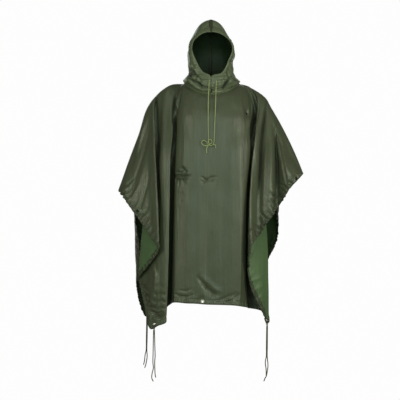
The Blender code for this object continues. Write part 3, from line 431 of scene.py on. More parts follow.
backFolds = (
    # name, seat, end, x25, x50, x75, x100, depth25, depth50, depth75, depth100
    ("cuff_left", -1.86, -522, -401, -400, -398, -393, 30, 45, 50, 44),
    ("sleeve_left_low", -1.68, -566, -363, -363, -362, -361, 50, 68, 66, 48),
    ("sleeve_left_mid", -1.52, -653, -331, -348, -361, -350, 64, 84, 74, 16),
    ("sleeve_left_high", -1.38, -800, -304, -333, -360, -330, 80, 104, 86, -30),
    ("wrap_left", -1.28, -938, -281, -318, -353, -346, 92, 120, 100, -24),
    ("corner_left", -1.2, -1076, -258, -296, -340, -309, 104, 132, 124, 60),
    ("hem_left", -1.12, -1044, -230, -258, -276, -271, 118, 148, 150, 128),
    ("ridge_left", -1.02, -1012, -193, -212, -225, -230, 140, 178, 200, 208),
    ("valley_left", -0.86, -994, -156, -168, -179, -184, 132, 144, 146, 146),
    ("ridge_left_inner", -0.62, -987, -115, -122, -129, -131, 152, 186, 204, 214),
    ("centre_left", -0.32, -982, -60, -64, -67, -67, 150, 176, 186, 190),
    ("centre", 0, -984, 0, -2, -5, -9, 156, 186, 198, 206),
    ("centre_right", 0.34, -984, 55, 55, 53, 51, 150, 178, 188, 192),
    ("ridge_right_inner", 0.64, -989, 110, 115, 117, 115, 152, 190, 210, 218),
    ("valley_right", 0.9, -996, 156, 168, 169, 147, 132, 142, 142, 138),
    ("ridge_right", 1.04, -1005, 193, 207, 205, 164, 138, 174, 182, 160),
    ("corner_right", 1.14, -1012, 216, 235, 244, 182, 124, 148, 150, 130),
    ("edge_right_low", 1.22, -920, 235, 260, 274, 230, 110, 128, 130, 122),
    ("edge_right_mid", 1.3, -826, 258, 285, 301, 264, 94, 108, 110, 106),
    ("edge_right_high", 1.38, -731, 278, 301, 315, 310, 74, 86, 90, 88),
    ("edge_right_turn", 1.48, -658, 304, 316, 319, 317, 40, 52, 56, 56),
    ("sleeve_right_low", 1.6, -577, 331, 324, 317, 311, 4, 12, 16, 18),
    ("cuff_right_high", 1.74, -504, 366, 359, 352, 345, -36, -28, -22, -20),
    ("cuff_right", 1.87, -453, 395, 392, 389, 386, -64, -60, -58, -56),
)
hoodStations = (0.0, 0.1, 0.2, 0.35, 0.5, 0.68, 0.85, 1.0)
crown = {"station": 0.93, "leftToGo": (0.54, 0.5, 0.25), "seamSlope": (1.1, 0.8, 0.4), "lift": 0.0015}
# One row for each run of a hood half from the neck up to the crown: where it starts round the neck,
# then x, y and z at each station after the first.
hoodRunsLeft = (
    ("edge", 0.0, (-0.2, -146, -14), (-0.3, -148, 31), (-39, -142, 57), (-69, -130, 110), (-87, -120, 170),
     (-64, -122, 214), (0, -125, 239)),
    ("tunnel", 0.3, (-39, -142, -5), (-48, -150, 25), (-69, -140, 48), (-90, -118, 106), (-102, -102, 166),
     (-80, -100, 221), (0, -105, 264)),
    ("cheek", 0.62, (-94, -110, 2), (-108, -110, 23), (-106, -80, 55), (-103, -70, 106), (-105, -60, 161),
     (-89, -60, 216), (0, -70, 296)),
    ("side", 1.0, (-129, -8, 20), (-121, -14, 34), (-106, -10, 55), (-102, -10, 101), (-104, -10, 156),
     (-90, -10, 212), (0, -30, 304)),
    ("rear", 1.35, (-117, 70, 23), (-108, 80, 46), (-101, 85, 78), (-99, 90, 120), (-97, 90, 166),
     (-74, 70, 212), (0, 30, 290)),
    ("nape_side", 1.7, (-69, 108, 32), (-69, 118, 55), (-67, 125, 87), (-64, 130, 129), (-60, 125, 170),
     (-41, 105, 214), (0, 75, 260)),
    ("nape", 2.0, (0, 122, 37), (0, 135, 64), (0, 142, 97), (0, 146, 138), (0, 140, 175),
     (0, 125, 209), (0, 105, 235)),
)
hoodRunsRight = (
    ("edge", 0.0, (0.2, -146, -14), (0.3, -148, 31), (51, -142, 53), (80, -130, 108), (98, -120, 168),
     (71, -122, 213), (0, -125, 239)),
    ("tunnel", 0.3, (48, -142, 0), (57, -150, 28), (78, -140, 53), (95, -118, 106), (107, -102, 161),
     (83, -100, 217), (0, -105, 264)),
    ("cheek", 0.62, (101, -110, 6), (103, -110, 30), (103, -80, 55), (99, -70, 103), (109, -60, 152),
     (86, -60, 213), (0, -70, 296)),
    ("side", 1.0, (133, -8, 19), (122, -14, 33), (104, -10, 47), (98, -10, 106), (109, -10, 150),
     (86, -10, 209), (0, -30, 304)),
    ("rear", 1.35, (120, 70, 21), (110, 80, 46), (101, 85, 78), (97, 90, 120), (99, 90, 166),
     (71, 70, 212), (0, 30, 290)),
    ("nape_side", 1.7, (71, 108, 32), (71, 118, 55), (69, 125, 87), (67, 130, 129), (62, 125, 170),
     (41, 105, 214), (0, 75, 260)),
    ("nape", 2.0, (0, 122, 37), (0, 135, 64), (0, 142, 97), (0, 146, 138), (0, 140, 175),
     (0, 125, 209), (0, 105, 235)),
)


def throughPoints(knots, points, where, startSlope=None, endSlope=None, eachOwn=False):
    # Smooth curve through points at uneven knots, read at the values in where. With eachOwn, every value
    # has its own set of points, and points is knot, place, xyz.
    knots, points = np.asarray(knots, float), np.asarray(points, float)
    where = np.atleast_1d(np.asarray(where, float))
    shape = (-1,) + (1,) * (points.ndim - 1)
    widths = np.diff(knots)
    steps = widths.reshape(shape)
    chords = np.diff(points, axis=0) / steps
    before, after = steps[:-1], steps[1:]
    slopes = np.empty_like(points)
    slopes[0] = chords[0] if startSlope is None else startSlope
    slopes[-1] = chords[-1] if endSlope is None else endSlope
    slopes[1:-1] = (after * chords[:-1] + before * chords[1:]) / (before + after)
    span = np.clip(np.searchsorted(knots, where, side="right") - 1, 0, len(widths) - 1)
    here, beyond = span, span + 1
    if eachOwn:
        shape = (-1, 1)
        here, beyond = (span, np.arange(len(where))), (span + 1, np.arange(len(where)))
    width = widths[span].reshape(shape)
    u = ((where - knots[span]) / widths[span]).reshape(shape)
    return (
        (2 * u**3 - 3 * u**2 + 1) * points[here] + (u**3 - 2 * u**2 + u) * width * slopes[here]
        + (3 * u**2 - 2 * u**3) * points[beyond] + (u**3 - u**2) * width * slopes[beyond]
    )


def unit(vectors):
    vectors = np.asarray(vectors, float)
    return vectors / np.maximum(np.linalg.norm(vectors, axis=-1, keepdims=True), 1e-12)


def eased(value):
    value = np.clip(value, 0, 1)
    return value * value * (3 - 2 * value)


def easedEnds(along, over):
    return eased(along / over) * eased((along[-1] - along) / over)


def bell(away, width):
    return np.exp(-((away / width) ** 2))


def evened(values, reach):
    # mean of each value and its neighbours
    return np.convolve(np.pad(values, reach, mode="edge"), np.ones(2 * reach + 1) / (2 * reach + 1), "valid")


def summed(steps):
    # running total, from 0
    return np.concatenate(([0], np.cumsum(steps)))


def gapsAlong(points):
    return np.linalg.norm(np.diff(points, axis=0), axis=1)


def readAlong(marks, along, line):
    return np.stack([np.interp(marks, along, line[:, i]) for i in range(3)], axis=1)


def neckPoint(turn):
    # turn is 0 in front, 1 or -1 at the side of the neck and 2 at the nape
    turn = np.asarray(turn, float)
    ahead = np.cos(turn * math.pi / 2)
    x = neck["centreX"] + neck["halfWidth"] * np.sin(turn * math.pi / 2)
    front = ahead >= 0
    y = np.where(front, -neck["front"] * ahead, -neck["back"] * ahead)
    z = neck["sideHeight"] - np.where(
        front, neck["frontDrop"] * np.abs(ahead) ** neck["frontCurve"], neck["backRise"] * ahead
    )
    return np.stack([x, y, z], axis=-1)


def shoulderPoint(share, side):
    share = np.asarray(share, float)
    name, forward = ("left", "forwardLeft") if side < 0 else ("right", "forwardRight")
    start = neckPoint(side)
    line = np.array([(start[0], start[2])] + [(x * mm, z * mm) for x, z in shoulders[name]])
    knots = summed(gapsAlong(line))
    flat = throughPoints(knots / knots[-1], line, np.clip(share, 0, 1))
    depth = -shoulders[forward] * np.clip(share, 0, 1) ** shoulders["forwardCurve"]
    return np.stack([flat[:, 0], depth, flat[:, 1]], axis=-1)


def topPoint(seat, facing):
    # point of a sheet half's top edge; facing is -1 for the front half and 1 for the back one
    seat = np.atleast_1d(np.asarray(seat, float))
    side = np.where(seat < 0, -1, 1)
    found = neckPoint(seat if facing < 0 else side * (2 - np.abs(seat)))
    for hand in (-1, 1):
        past = (np.abs(seat) > 1) & (side == hand)
        if past.any():
            found[past] = shoulderPoint(np.abs(seat[past]) - 1, hand)
    return found


puckers = {
    # the side edges are gathered into dips at uneven places
    "every": 0.0160, "uneven": 0.46, "depth": 0.0072, "reach": 0.032, "width": 0.0042, "widerOver": 0.09,
    "depthSpread": (0.25, 1.3), "reachSpread": (0.5, 1.7), "widthSpread": (0.8, 1.25), "slant": 0.45,
    # the first number below is how much of the gathers' depth goes into the painted shade of the creases
    "gathersInPaintedShade": 1.5, "edgeLift": 0.0012, "edgeStops": 900, "edgeRise": 0.03, "evenOver": 0.010, "fadeOver": 0.03,
    "leanMost": 0.9, "calmFrom": 0.1, "calmOver": 0.95, "calmLeast": 0.12,
    # the hem between the corners only ripples, with a groove where it is stitched
    "alongHem": 0.35, "hemEvery": 0.019, "hemHeight": 0.0009, "hemUp": 0.016, "hemReach": 0.012,
    "grooveDepth": 0.0016, "grooveUp": 0.0195, "grooveReach": 0.0035,
    "waves": 0.0007, "topFade": 0.05, "creaseFade": 0.03,
}


class ClothHalf:
    # What a half of the sheet and a half of the hood share. Hand is -1 for the front or left one and 1 for
    # the other. Across runs over the fold lines and share from the first station to the last.
    def __init__(self, names, hand, creases):
        self.names, self.hand, self.creases = names, hand, creases
        self.flats = []

    def layOut(self, lines, stations):
        # Lines holds a row of points for each fold line. Across grows with the root of the way between two.
        self.lines, self.stations = np.array(lines), stations
        self.steps = np.linalg.norm(np.diff(self.lines, axis=0), axis=2).mean(axis=1)
        self.knots, self.widths = summed(np.sqrt(self.steps)), summed(self.steps)

    def place(self, name):
        return self.knots[self.names.index(name)]

    def surface(self, across, share, origins, **slopes):
        # the curve down each fold line, then across them; origins are the true points along the top edge
        lines = throughPoints(self.stations, np.swapaxes(self.lines, 0, 1), share, **slopes)
        points = throughPoints(self.knots, np.swapaxes(lines, 0, 1), across, eachOwn=True)
        drift = origins - throughPoints(self.knots, self.lines[:, 0], across)
        return points + (np.clip(1 - share / self.stations[1], 0, 1) ** 2)[:, None] * drift

    def outward(self, across, share, step=0.004):
        low, high = np.clip(share - step, 0, 1), np.clip(share + step, 0, 1)
        left = np.clip(across - step, self.knots[0], self.knots[-1])
        right = np.clip(across + step, self.knots[0], self.knots[-1])
        down = self.smooth(across, high) - self.smooth(across, low)
        along = self.smooth(right, share) - self.smooth(left, share)
        return unit(np.cross(down, along) * -self.hand)

    def creased(self, across, points):
        return sum((creaseHeight(self, crease, across, points) for crease in self.creases), np.zeros(len(points)))

    def depth(self, across, share):
        # how deep the cloth lies below its smooth surface, for the painted shade of its folds
        gathered = puckers["gathersInPaintedShade"] * self.gathers(across, share)
        return -gathered - self.creased(across, self.smooth(across, share))

    def finished(self, across, share):
        # points of the outer face with gathers and creases, and the outward directions they moved along
        across, share = np.asarray(across, float).ravel(), np.asarray(share, float).ravel()
        points, out = self.smooth(across, share), self.outward(across, share)
        height = self.gathers(across, share) + self.creased(across, points)
        points = points + out * self.settled(height, points, share)[:, None]
        for centre, axis, flat, wide in self.flats:
            gap = points - centre
            pull = eased((wide - np.linalg.norm(gap, axis=1)) / (wide - flat))
            points -= axis * ((gap @ axis) * pull)[:, None]
        return points, out


class DrapedSheet(ClothHalf):
    # smooth surface through the fold lines of one half of the poncho's sheet
    def __init__(self, folds, hand, creases, seed):
        super().__init__(["tip_left"] + [row[0] for row in folds] + ["tip_right"], hand, creases)
        self.seats = np.array([-2.0] + [row[1] for row in folds] + [2.0])
        tops = topPoint(self.seats, hand)
        lines = [[tops[0]] * 5]
        for (_, _, end, *rest), top in zip(folds, tops[1:-1]):
            line = [top]
            for share, x, depth in zip(stations[1:], rest[:4], rest[4:]):
                line.append(np.array((x * mm, hand * depth * mm, top[2] + (end * mm - top[2]) * share)))
            lines.append(line)
        self.layOut(lines + [[tops[-1]] * 5], stations)
        self.slopes = np.array([self.startSlope(i) for i in range(len(self.lines))])
        self.lengths = np.linalg.norm(np.diff(self.lines, axis=1), axis=2).sum(axis=1)
        self.edges = [self.followEdge(side, seed) for side in (-1, 1)]

    def startSlope(self, i):
        # level off the shoulder ridge, straight forward or back, and fanning out beside the neck
        length = gapsAlong(self.lines[i]).sum()
        seat = self.seats[i]
        steep = max(0, 1 - abs(seat))
        fan = topRun["fan"] * (abs(seat) if abs(seat) <= 1 else max(0, 1 - (abs(seat) - 1) / topRun["fanOver"]))
        out = topRun["out"] - topRun["outLess"] * steep
        return length * np.array((
            math.copysign(out * math.sin(fan), seat), self.hand * out * math.cos(fan),
            -topRun["down"] * (abs(seat) <= 1) - topRun["downMore"] * steep,
        ))

    def length(self, across):
        return np.interp(across, self.knots, self.lengths)

    def smooth(self, across, share):
        across, share = np.asarray(across, float).ravel(), np.asarray(share, float).ravel()
        origins = topPoint(np.interp(across, self.knots, self.seats), self.hand)
        return self.surface(across, share, origins, startSlope=self.slopes)

    def followEdge(self, side, seed):
        # the gathered side edge: distances along it, how the cloth's run meets it, and its puckers
        corner = self.place("corner_left" if side < 0 else "corner_right")
        ends = (self.knots[0], corner) if side < 0 else (corner, self.knots[-1])
        stops = puckers["edgeStops"]
        across = np.linspace(*ends, stops)
        edge = self.smooth(across, np.ones(stops))
        rise = np.clip(puckers["edgeRise"] / np.maximum(self.length(across), 0.05), 0, 0.5)
        above = self.smooth(across, 1 - rise)
        along = summed(gapsAlong(edge))
        even = np.linspace(0, along[-1], stops)
        across = np.interp(even, along, across)
        edge, above = readAlong(even, along, edge), readAlong(even, along, above)
        reach = max(1, round(puckers["evenOver"] / (even[1] - even[0])))
        ahead = np.minimum(np.arange(stops) + reach, stops - 1)
        behind = np.maximum(np.arange(stops) - reach, 0)
        tangent = unit(edge[ahead] - edge[behind])
        lean = evened((unit(edge - above) * tangent).sum(axis=1), reach)
        # where the edge doubles back, its gathers are calmer
        turning = (tangent[ahead] * tangent[behind]).sum(axis=1)
        calm = np.clip((turning + puckers["calmFrom"]) / puckers["calmOver"], puckers["calmLeast"], 1)
        calm = evened(calm, reach) * easedEnds(even, puckers["fadeOver"])
        luck = np.random.default_rng(seed + side)
        count = round(even[-1] / puckers["every"])
        spots = (np.arange(count) + 0.5 + puckers["uneven"] * luck.uniform(-1, 1, count)) * even[-1] / count
        return {
            "ends": ends, "across": across, "along": even, "calm": calm, "spots": spots,
            "lean": np.clip(lean, -puckers["leanMost"], puckers["leanMost"]),
            "depths": puckers["depth"] * luck.uniform(*puckers["depthSpread"], count),
            "reaches": puckers["reach"] * luck.uniform(*puckers["reachSpread"], count),
            "widths": puckers["width"] * luck.uniform(*puckers["widthSpread"], count),
            "slants": luck.uniform(-puckers["slant"], puckers["slant"], count),
        }

    def alongEdges(self, across):
        # each side edge with the places that belong to it
        for edge in self.edges:
            yield edge, (across - edge["ends"][0]) * (across - edge["ends"][1]) <= 0

    def slantAt(self, across):
        found = np.ones_like(across)
        for edge, here in self.alongEdges(across):
            found[here] = np.sqrt(1 - np.interp(across[here], edge["across"], edge["lean"]) ** 2)
        return found

    def fromEdge(self, across, share):
        # distance up from the free edge, distance along it and the calm of its gathers
        left = (1 - share) * self.length(across)
        up, along, calm = left.copy(), across * puckers["alongHem"], np.zeros_like(across)
        for edge, here in self.alongEdges(across):
            lean = np.interp(across[here], edge["across"], edge["lean"])
            up[here] = left[here] * np.sqrt(1 - lean**2)
            along[here] = np.interp(across[here], edge["across"], edge["along"]) - left[here] * lean
            calm[here] = np.interp(across[here], edge["across"], edge["calm"])
        return up, along, calm

    def gathers(self, across, share):
        up, along, calm = self.fromEdge(across, share)
        height = np.zeros_like(across)
        # the ripple of the hem takes in the left corner and stops short of the right one
        middle = calm == 0
        for edge, here in self.alongEdges(across):
            if edge is self.edges[1]:
                middle[here] = False
            d, s = up[here][:, None], along[here][:, None]
            width = edge["widths"] * (1 + d / puckers["widerOver"])
            dips = edge["depths"] * bell(s - edge["spots"] - edge["slants"] * d, width)
            dips = (dips * np.exp(-d / edge["reaches"])).sum(axis=1)
            height[here] -= (dips - puckers["edgeLift"] * np.exp(-up[here] / puckers["reach"])) * calm[here]
        up, along = up[middle], along[middle]
        ripple = np.sin(along * math.tau / puckers["hemEvery"] + 2.3 * np.sin(along * 31))
        height[middle] += puckers["hemHeight"] * ripple * bell(up - puckers["hemUp"], puckers["hemReach"])
        height[middle] -= puckers["grooveDepth"] * bell(up - puckers["grooveUp"], puckers["grooveReach"])
        return height

    def settled(self, height, points, share):
        # small waves all over, and all of it fades out at the top edge
        x, z = points[:, 0], points[:, 2]
        height = height + puckers["waves"] * np.sin(x * 43 + 2 * np.sin(z * 11)) * np.sin(z * 23 + 1)
        return height * eased(share / puckers["topFade"])


def creaseHeight(sheet, crease, across, points):
    # a soft trough, or a ridge where its depth is under 0, along a line placed from the front or from the side
    first, last, widths, sharp, route, fromSide = crease
    before, after = widths if isinstance(widths, tuple) else (widths, widths)
    height = np.zeros(len(points))
    low, high = sheet.place(first), sheet.place(last)
    near = (across > low) & (across < high)
    if not near.any():
        return height
    x, z = points[near, 1 if fromSide else 0] / mm, points[near, 2] / mm
    best, depth, width = np.full(len(x), 1e9), np.zeros(len(x)), np.ones(len(x))
    for (x0, z0, d0), (x1, z1, d1) in zip(route, route[1:]):
        dx, dz = x1 - x0, z1 - z0
        u = np.clip(((x - x0) * dx + (z - z0) * dz) / (dx * dx + dz * dz), 0, 1)
        away = np.hypot(x - x0 - u * dx, z - z0 - u * dz)
        closer = away < best
        best = np.where(closer, away, best)
        depth = np.where(closer, d0 + (d1 - d0) * u, depth)
        width = np.where(closer, np.where(dx * (z - z0) - dz * (x - x0) < 0, before, after), width)
    shape = bell(best, width) if not sharp else np.exp(-(np.hypot(best, sharp) - sharp) / width)
    inside = np.minimum(across[near] - low, high - across[near])
    height[near] = -depth * mm * shape * eased(inside / puckers["creaseFade"])
    return height


def creases(first, last, *kinds, fromSide=False):
    # Creases between two fold lines. A kind holds the half width, or one for each side, the sharpness, where
    # 0 is rounded, and its routes: x, z and depth at each point, in mm. A depth under 0 stands out.
    return [(first, last, widths, sharp, route, fromSide) for widths, sharp, *routes in kinds for route in routes]


def sideCreases(*parts):
    # creases placed by y and z instead, as seen from the side
    return creases(*parts, fromSide=True)


frontCreases = (
    # where the cloth leaves the chest and starts to hang
    *creases("wall_left", "wall_right",
        ((240, 60), 6, ((-124, -64, -3), (-121, -110, -7), (-110, -152, -10), (-92, -152, -10), (-69, -131, -8),
            (-51, -120, -7), (-32, -129, -8), (-18, -143, -9), (-5, -131, -8), (9, -122, -7), (28, -133, -8),
            (55, -161, -10), (101, -168, -10), (131, -163, -10), (140, -129, -7), (141, -64, -3))),
    ),
    # the front turns away to each side
    *creases("centre", "valley_right",
        ((150, 24), 4, ((129, -175, 0), (129, -304, -5), (130, -534, -6), (132, -810, -6), (133, -1021, -5))),
    ),
    *creases("valley_left_inner", "centre",
        ((24, 130), 5, ((-115, -175, 0), (-110, -304, -3), (-101, -515, -5), (-97, -764, -6), (-97, -994, -5))),
    ),
    # hollow beside the right side of the front
    *creases("centre_right_outer", "valley_right_outer",
        ((9, 14), 2, ((177, -304, 0), (172, -488, 10), (170, -718, 16), (177, -902, 22), (186, -1030, 22))),
        (7, 0, ((136, -603, 0), (133, -810, -3), (129, -948, -4), (124, -1012, -3))),
    ),
    # long soft folds down the front
    *creases("valley_left_inner", "centre",
        (7, 0,
            ((-120, -152, 0), (-117, -235, -3), (-118, -313, -3.5), (-124, -405, 0)),
            ((-99, -202, 0), (-95, -281, 3.5), (-94, -373, 4), (-92, -442, 0))),
    ),
    *creases("centre_left_outer", "centre_right_inner",
        (13, 0, ((-64, -212, 0), (-60, -488, -1.5), (-55, -718, -2.5), (-55, -948, -1))),
        (12, 0, ((-23, -488, 0), (-21, -672, 2.2), (-23, -856, 2.4), (-28, -938, 0))),
    ),
    *creases("centre_left_outer", "centre_right_outer",
        (12, 0, ((9, -455, 0), (9, -672, -2.2), (12, -856, -2), (14, -948, 0))),
    ),
    *creases("centre_left_inner", "centre_right_outer",
        (11, 0, ((60, -304, 0), (55, -488, 1.8), (51, -718, 2.2), (51, -925, 1))),
    ),
    *creases("centre", "wall_right",
        (9, 0, ((85, -170, 0), (87, -281, -3), (92, -419, -2.5), (97, -672, -2), (97, -948, 0))),
    ),
    # pinched where the waist cord is tucked behind
    *creases("valley_left_inner", "centre",
        ((2.6, 4), 0.7, ((-168, -424, 5.7), (-147, -423, 13.3), (-120, -426, 15.2), (-85, -423, 0))),
        ((4, 3), 0.6, ((-167, -430, 3.8), (-147, -431, -7.6), (-115, -433, -7.6), (-87, -430, 0))),
        (2.9, 0.6, ((-166, -412, 0), (-152, -405, 7.6), (-138, -407, 7.6), (-129, -392, 9.5), (-113, -403, 9.5),
            (-121, -417, 5.7), (-106, -416, 0))),
        (2.6, 0.5,
            ((-139, -398, 0), (-127, -385, 6.6), (-112, -394, 0)),
            ((-159, -432, 7.6), (-157, -449, 7.6), (-163, -465, 0)),
            ((-144, -434, 7.6), (-146, -460, 5.7), (-143, -478, 0)),
            ((-130, -434, 7.6), (-125, -455, 7.6), (-129, -474, 0)),
            ((-113, -434, 7.6), (-117, -451, 5.7), (-112, -469, 0))),
        (2.9, 0.5, ((-98, -431, 7.6), (-101, -451, 0))),
    ),
    *creases("centre_left_inner", "centre_right_inner",
        (2.6, 0.6, ((-46, -428, 0), (-37, -432, 6), (-24, -445, 7.5), (-11, -439, 4.5), (0, -431, 6), (14, -428, 5),
            (28, -432, 0))),
        (2.6, 0.5,
            ((-30, -446, 9.5), (-39, -465, 0)),
            ((-16, -442, 7.6), (-17, -458, 0)),
            ((0, -434, 9.5), (8, -458, 0))),
    ),
    *creases("valley_left_inner", "centre",
        (2.4, 0.5, ((-156, -509, 0), (-133, -515, 5), (-106, -510, 0))),
        (2.6, 0.5, ((-166, -532, 0), (-143, -537, 5), (-115, -531, 0))),
    ),
    *creases("centre_left_inner", "centre_right_inner",
        (2.2, 0.4,
            ((-48, -444, 0), (-35, -450, 5), (-28, -463, 0)),
            ((-10, -449, 0), (7, -443, 5), (21, -453, 0))),
    ),
    # swept creases over the hem
    *creases("centre_left_outer", "centre_right_inner",
        ((5, 9), 2, ((-69, -879, 0), (-51, -899, 6), (-23, -934, 9.5), (5, -963, 9), (32, -975, 0))),
        ((9, 13), 0, ((-51, -879, 0), (-18, -908, -4.5), (14, -943, -5.5), (46, -957, 0))),
    ),
    *creases("centre", "valley_right",
        (4, 1, ((28, -994, 0), (55, -987, 6.4), (87, -973, 8), (120, -956, 0))),
        (3.6, 1, ((60, -1007, 0), (87, -996, 8), (115, -975, 6.4), (131, -957, 0))),
        (5, 0, ((51, -1000, 0), (83, -985, -4.8), (115, -965, 0))),
    ),
    *creases("valley_left_inner", "centre",
        (3.6, 1, ((-170, -961, 0), (-147, -972, 6.4), (-115, -977, 6.4), (-74, -965, 0))),
        (4.4, 0, ((-152, -945, 0), (-115, -951, 4), (-83, -938, 0))),
    ),
    # deep folds from the left shoulder
    *creases("hem_left", "centre_left_outer",
        ((3.4, 5), 1.6, ((-132, -9, 6), (-139, -41, 16), (-151, -92, 20), (-161, -147, 20), (-166, -235, 12),
            (-167, -350, 0))),
        (3.2, 1.2, ((-148, -23, 5), (-161, -60, 11), (-171, -110, 12), (-175, -166, 8), (-177, -212, 0))),
        ((4, 2.6), 1, ((-140, -28, -3), (-155, -74, -6), (-166, -129, -6), (-170, -184, 0))),
    ),
    *creases("sleeve_left_high", "lip_left",
        ((5, 3), 1.2, ((-260, -37, 3), (-255, -64, 12), (-252, -120, 16), (-250, -212, 12), (-248, -313, 4),
            (-246, -396, 0))),
        ((9, 4), 0, ((-269, -64, 0), (-264, -129, -4), (-262, -258, -4), (-260, -373, 0))),
    ),
    *creases("side_left", "wall_left",
        (8, 0, ((-198, -64, 0), (-202, -166, 3), (-207, -304, 3), (-212, -488, 0))),
    ),
    # shadowed bottoms of the long folds, deep enough that the finish also paints shade into them
    *creases("lip_left", "wall_left",
        ((10, 14), 2, ((-167, -258, 4), (-170, -350, 12), (-182, -534, 15), (-190, -764, 15), (-196, -994, 14))),
    ),
    *creases("flap_left_back", "hem_left",
        ((6, 5), 1.6, ((-248, -373, 8), (-242, -465, 9), (-236, -557, 9), (-228, -695, 6), (-224, -787, 0))),
    ),
    *creases("wall_right", "flap_right_turn",
        ((7, 8), 1.6, ((190, -230, 5), (183, -304, 10), (176, -442, 12), (171, -557, 12), (167, -695, 8),
            (166, -787, 0))),
    ),
    # right shoulder
    *creases("centre_right_outer", "furrow_right",
        ((3, 2.6), 1, ((182, -6, 5), (196, -26, 12), (209, -55, 16), (211, -110, 18), (206, -166, 16),
            (196, -230, 10), (186, -285, 0))),
        ((12, 7), 0, ((161, -28, 0), (178, -60, -8), (188, -101, -10), (183, -152, -8), (168, -212, 0))),
    ),
    *creases("centre", "wall_right",
        (3.6, 1, ((144, -46, 0), (147, -87, 3), (148, -124, 0))),
    ),
    *creases("centre", "valley_right",
        (2.2, 0.8,
            ((154, -112, 0), (156, -124, 4), (158, -133, 2)),
            ((166, -141, 3), (172, -154, 5), (177, -170, 0)),
            ((159, -143, 3), (155, -156, 4), (154, -175, 0))),
        (2.4, 0.8, ((167, -132, 2), (177, -126, 5), (189, -123, 0))),
    ),
    # right sleeve
    *creases("pleat_right_edge", "crease_right",
        ((4.5, 4.5), 1.6, ((261, -69, 4), (253, -129, 14), (242, -202, 20), (232, -294, 20), (224, -432, 14),
            (219, -534, 0))),
    ),
    *creases("furrow_right", "crease_right",
        ((13, 13), 0, ((271, -129, 0), (276, -235, -6), (270, -373, -8), (262, -557, -5), (258, -649, 0))),
    ),
    *creases("ridge_right_far", "cuff_right_high",
        ((2.6, 3.6), 1.2, ((294, -207, 3), (300, -285, 10), (304, -377, 12), (303, -469, 8), (297, -552, 0))),
    ),
    *creases("ridge_right", "cuff_right_high",
        ((7, 3), 1.2, ((300, -216, -3), (313, -294, -11), (328, -373, -13), (345, -478, -8), (359, -543, 0))),
    ),
    *creases("ridge_right", "cuff_right",
        (5, 0, ((313, -239, 1), (331, -331, 4), (352, -432, 3), (359, -488, 0))),
    ),
    *creases("ridge_right", "tip_right",
        (9, 0, ((262, -92, 0), (290, -175, -3), (322, -258, -3), (354, -331, 0))),
    ),
    # bright edge where the right flap turns under
    *creases("flap_right_turn", "flap_right_mid",
        (2.6, 0, ((255, -635, 0), (257, -681, 3), (259, -764, 3), (260, -846, 2), (262, -994, 0))),
    ),
    # gathers of the right sleeve, along its hem
    *creases("pleat_right_edge", "tip_right",
        ((2.6, 3.2), 0.6,
            ((375, -457, 6.4), (361, -443, 8), (346, -428, 0)),
            ((357, -481, 8.0), (329, -467, 10), (302, -452, 0)),
            ((342, -500, 5.6), (328, -489, 7), (314, -477, 0)),
            ((325, -527, 8.8), (292, -512, 11), (259, -497, 0)),
            ((309, -549, 6.4), (290, -536, 8), (271, -523, 0)),
            ((294, -575, 8.8), (273, -554, 11), (253, -533, 0)),
            ((280, -603, 7.2), (263, -594, 9), (246, -585, 0)),
            ((265, -627, 8.8), (242, -608, 11), (220, -589, 0)),
            ((250, -650, 6.4), (230, -641, 8), (210, -632, 0)),
            ((237, -673, 8.0), (215, -657, 10), (192, -641, 0)),
            ((224, -699, 6.4), (211, -686, 8), (198, -673, 0))),
    ),
    # left sleeve
    *creases("tip_left", "pleat_left_edge",
        (9, 0,
            ((-294, -138, 0), (-317, -207, -4), (-340, -304, -3), (-359, -396, 0)),
            ((-281, -202, 0), (-305, -294, 4), (-336, -396, 3), (-363, -488, 0))),
        (8, 0, ((-271, -350, 0), (-294, -465, 3), (-327, -570, 4), (-345, -616, 0))),
        (10, 0, ((-299, -350, 0), (-327, -451, -3), (-368, -543, -4), (-386, -570, 0))),
    ),
    # curved wrinkles above the left corner
    *creases("flap_left_back", "hem_left",
        (3, 1,
            ((-329, -915, 0), (-315, -934, 10.5), (-294, -948, 10.5), (-279, -969, 0)),
            ((-327, -945, 0), (-310, -961, 10.5), (-292, -975, 10.5), (-281, -998, 0)),
            ((-319, -973, 0), (-304, -989, 10.5), (-287, -1003, 8.5), (-279, -1024, 0)),
            ((-310, -1007, 0), (-290, -1021, 10.5), (-264, -1024, 8.5), (-244, -1017, 0))),
    ),
    *creases("flap_left_back", "lip_left",
        (3.4, 1,
            ((-299, -1044, 0), (-276, -1042, 10.5), (-248, -1052, 8.5), (-216, -1044, 0)),
            ((-285, -1075, 0), (-262, -1063, 8.5), (-235, -1069, 8.5), (-204, -1063, 0))),
        (9, 0, ((-271, -819, 0), (-253, -879, -6.4), (-258, -938, -6.4), (-281, -984, 0))),
    ),
    # more wrinkles over the left corner
    *creases("flap_left_back", "lip_left",
        (2.8, 0.8,
            ((-281, -920, 0), (-258, -934, 5), (-235, -927, 5), (-207, -938, 0)),
            ((-271, -957, 0), (-248, -969, 6), (-225, -961, 5), (-202, -971, 0)),
            ((-276, -992, 0), (-253, -1001, 6), (-225, -994, 6), (-200, -1005, 0))),
        (2.6, 0.8,
            ((-281, -1025, 0), (-248, -1034, 6), (-225, -1024, 6), (-198, -1035, 0)),
            ((-296, -1061, 0), (-267, -1053, 6), (-239, -1062, 6), (-203, -1052, 0))),
    ),
)
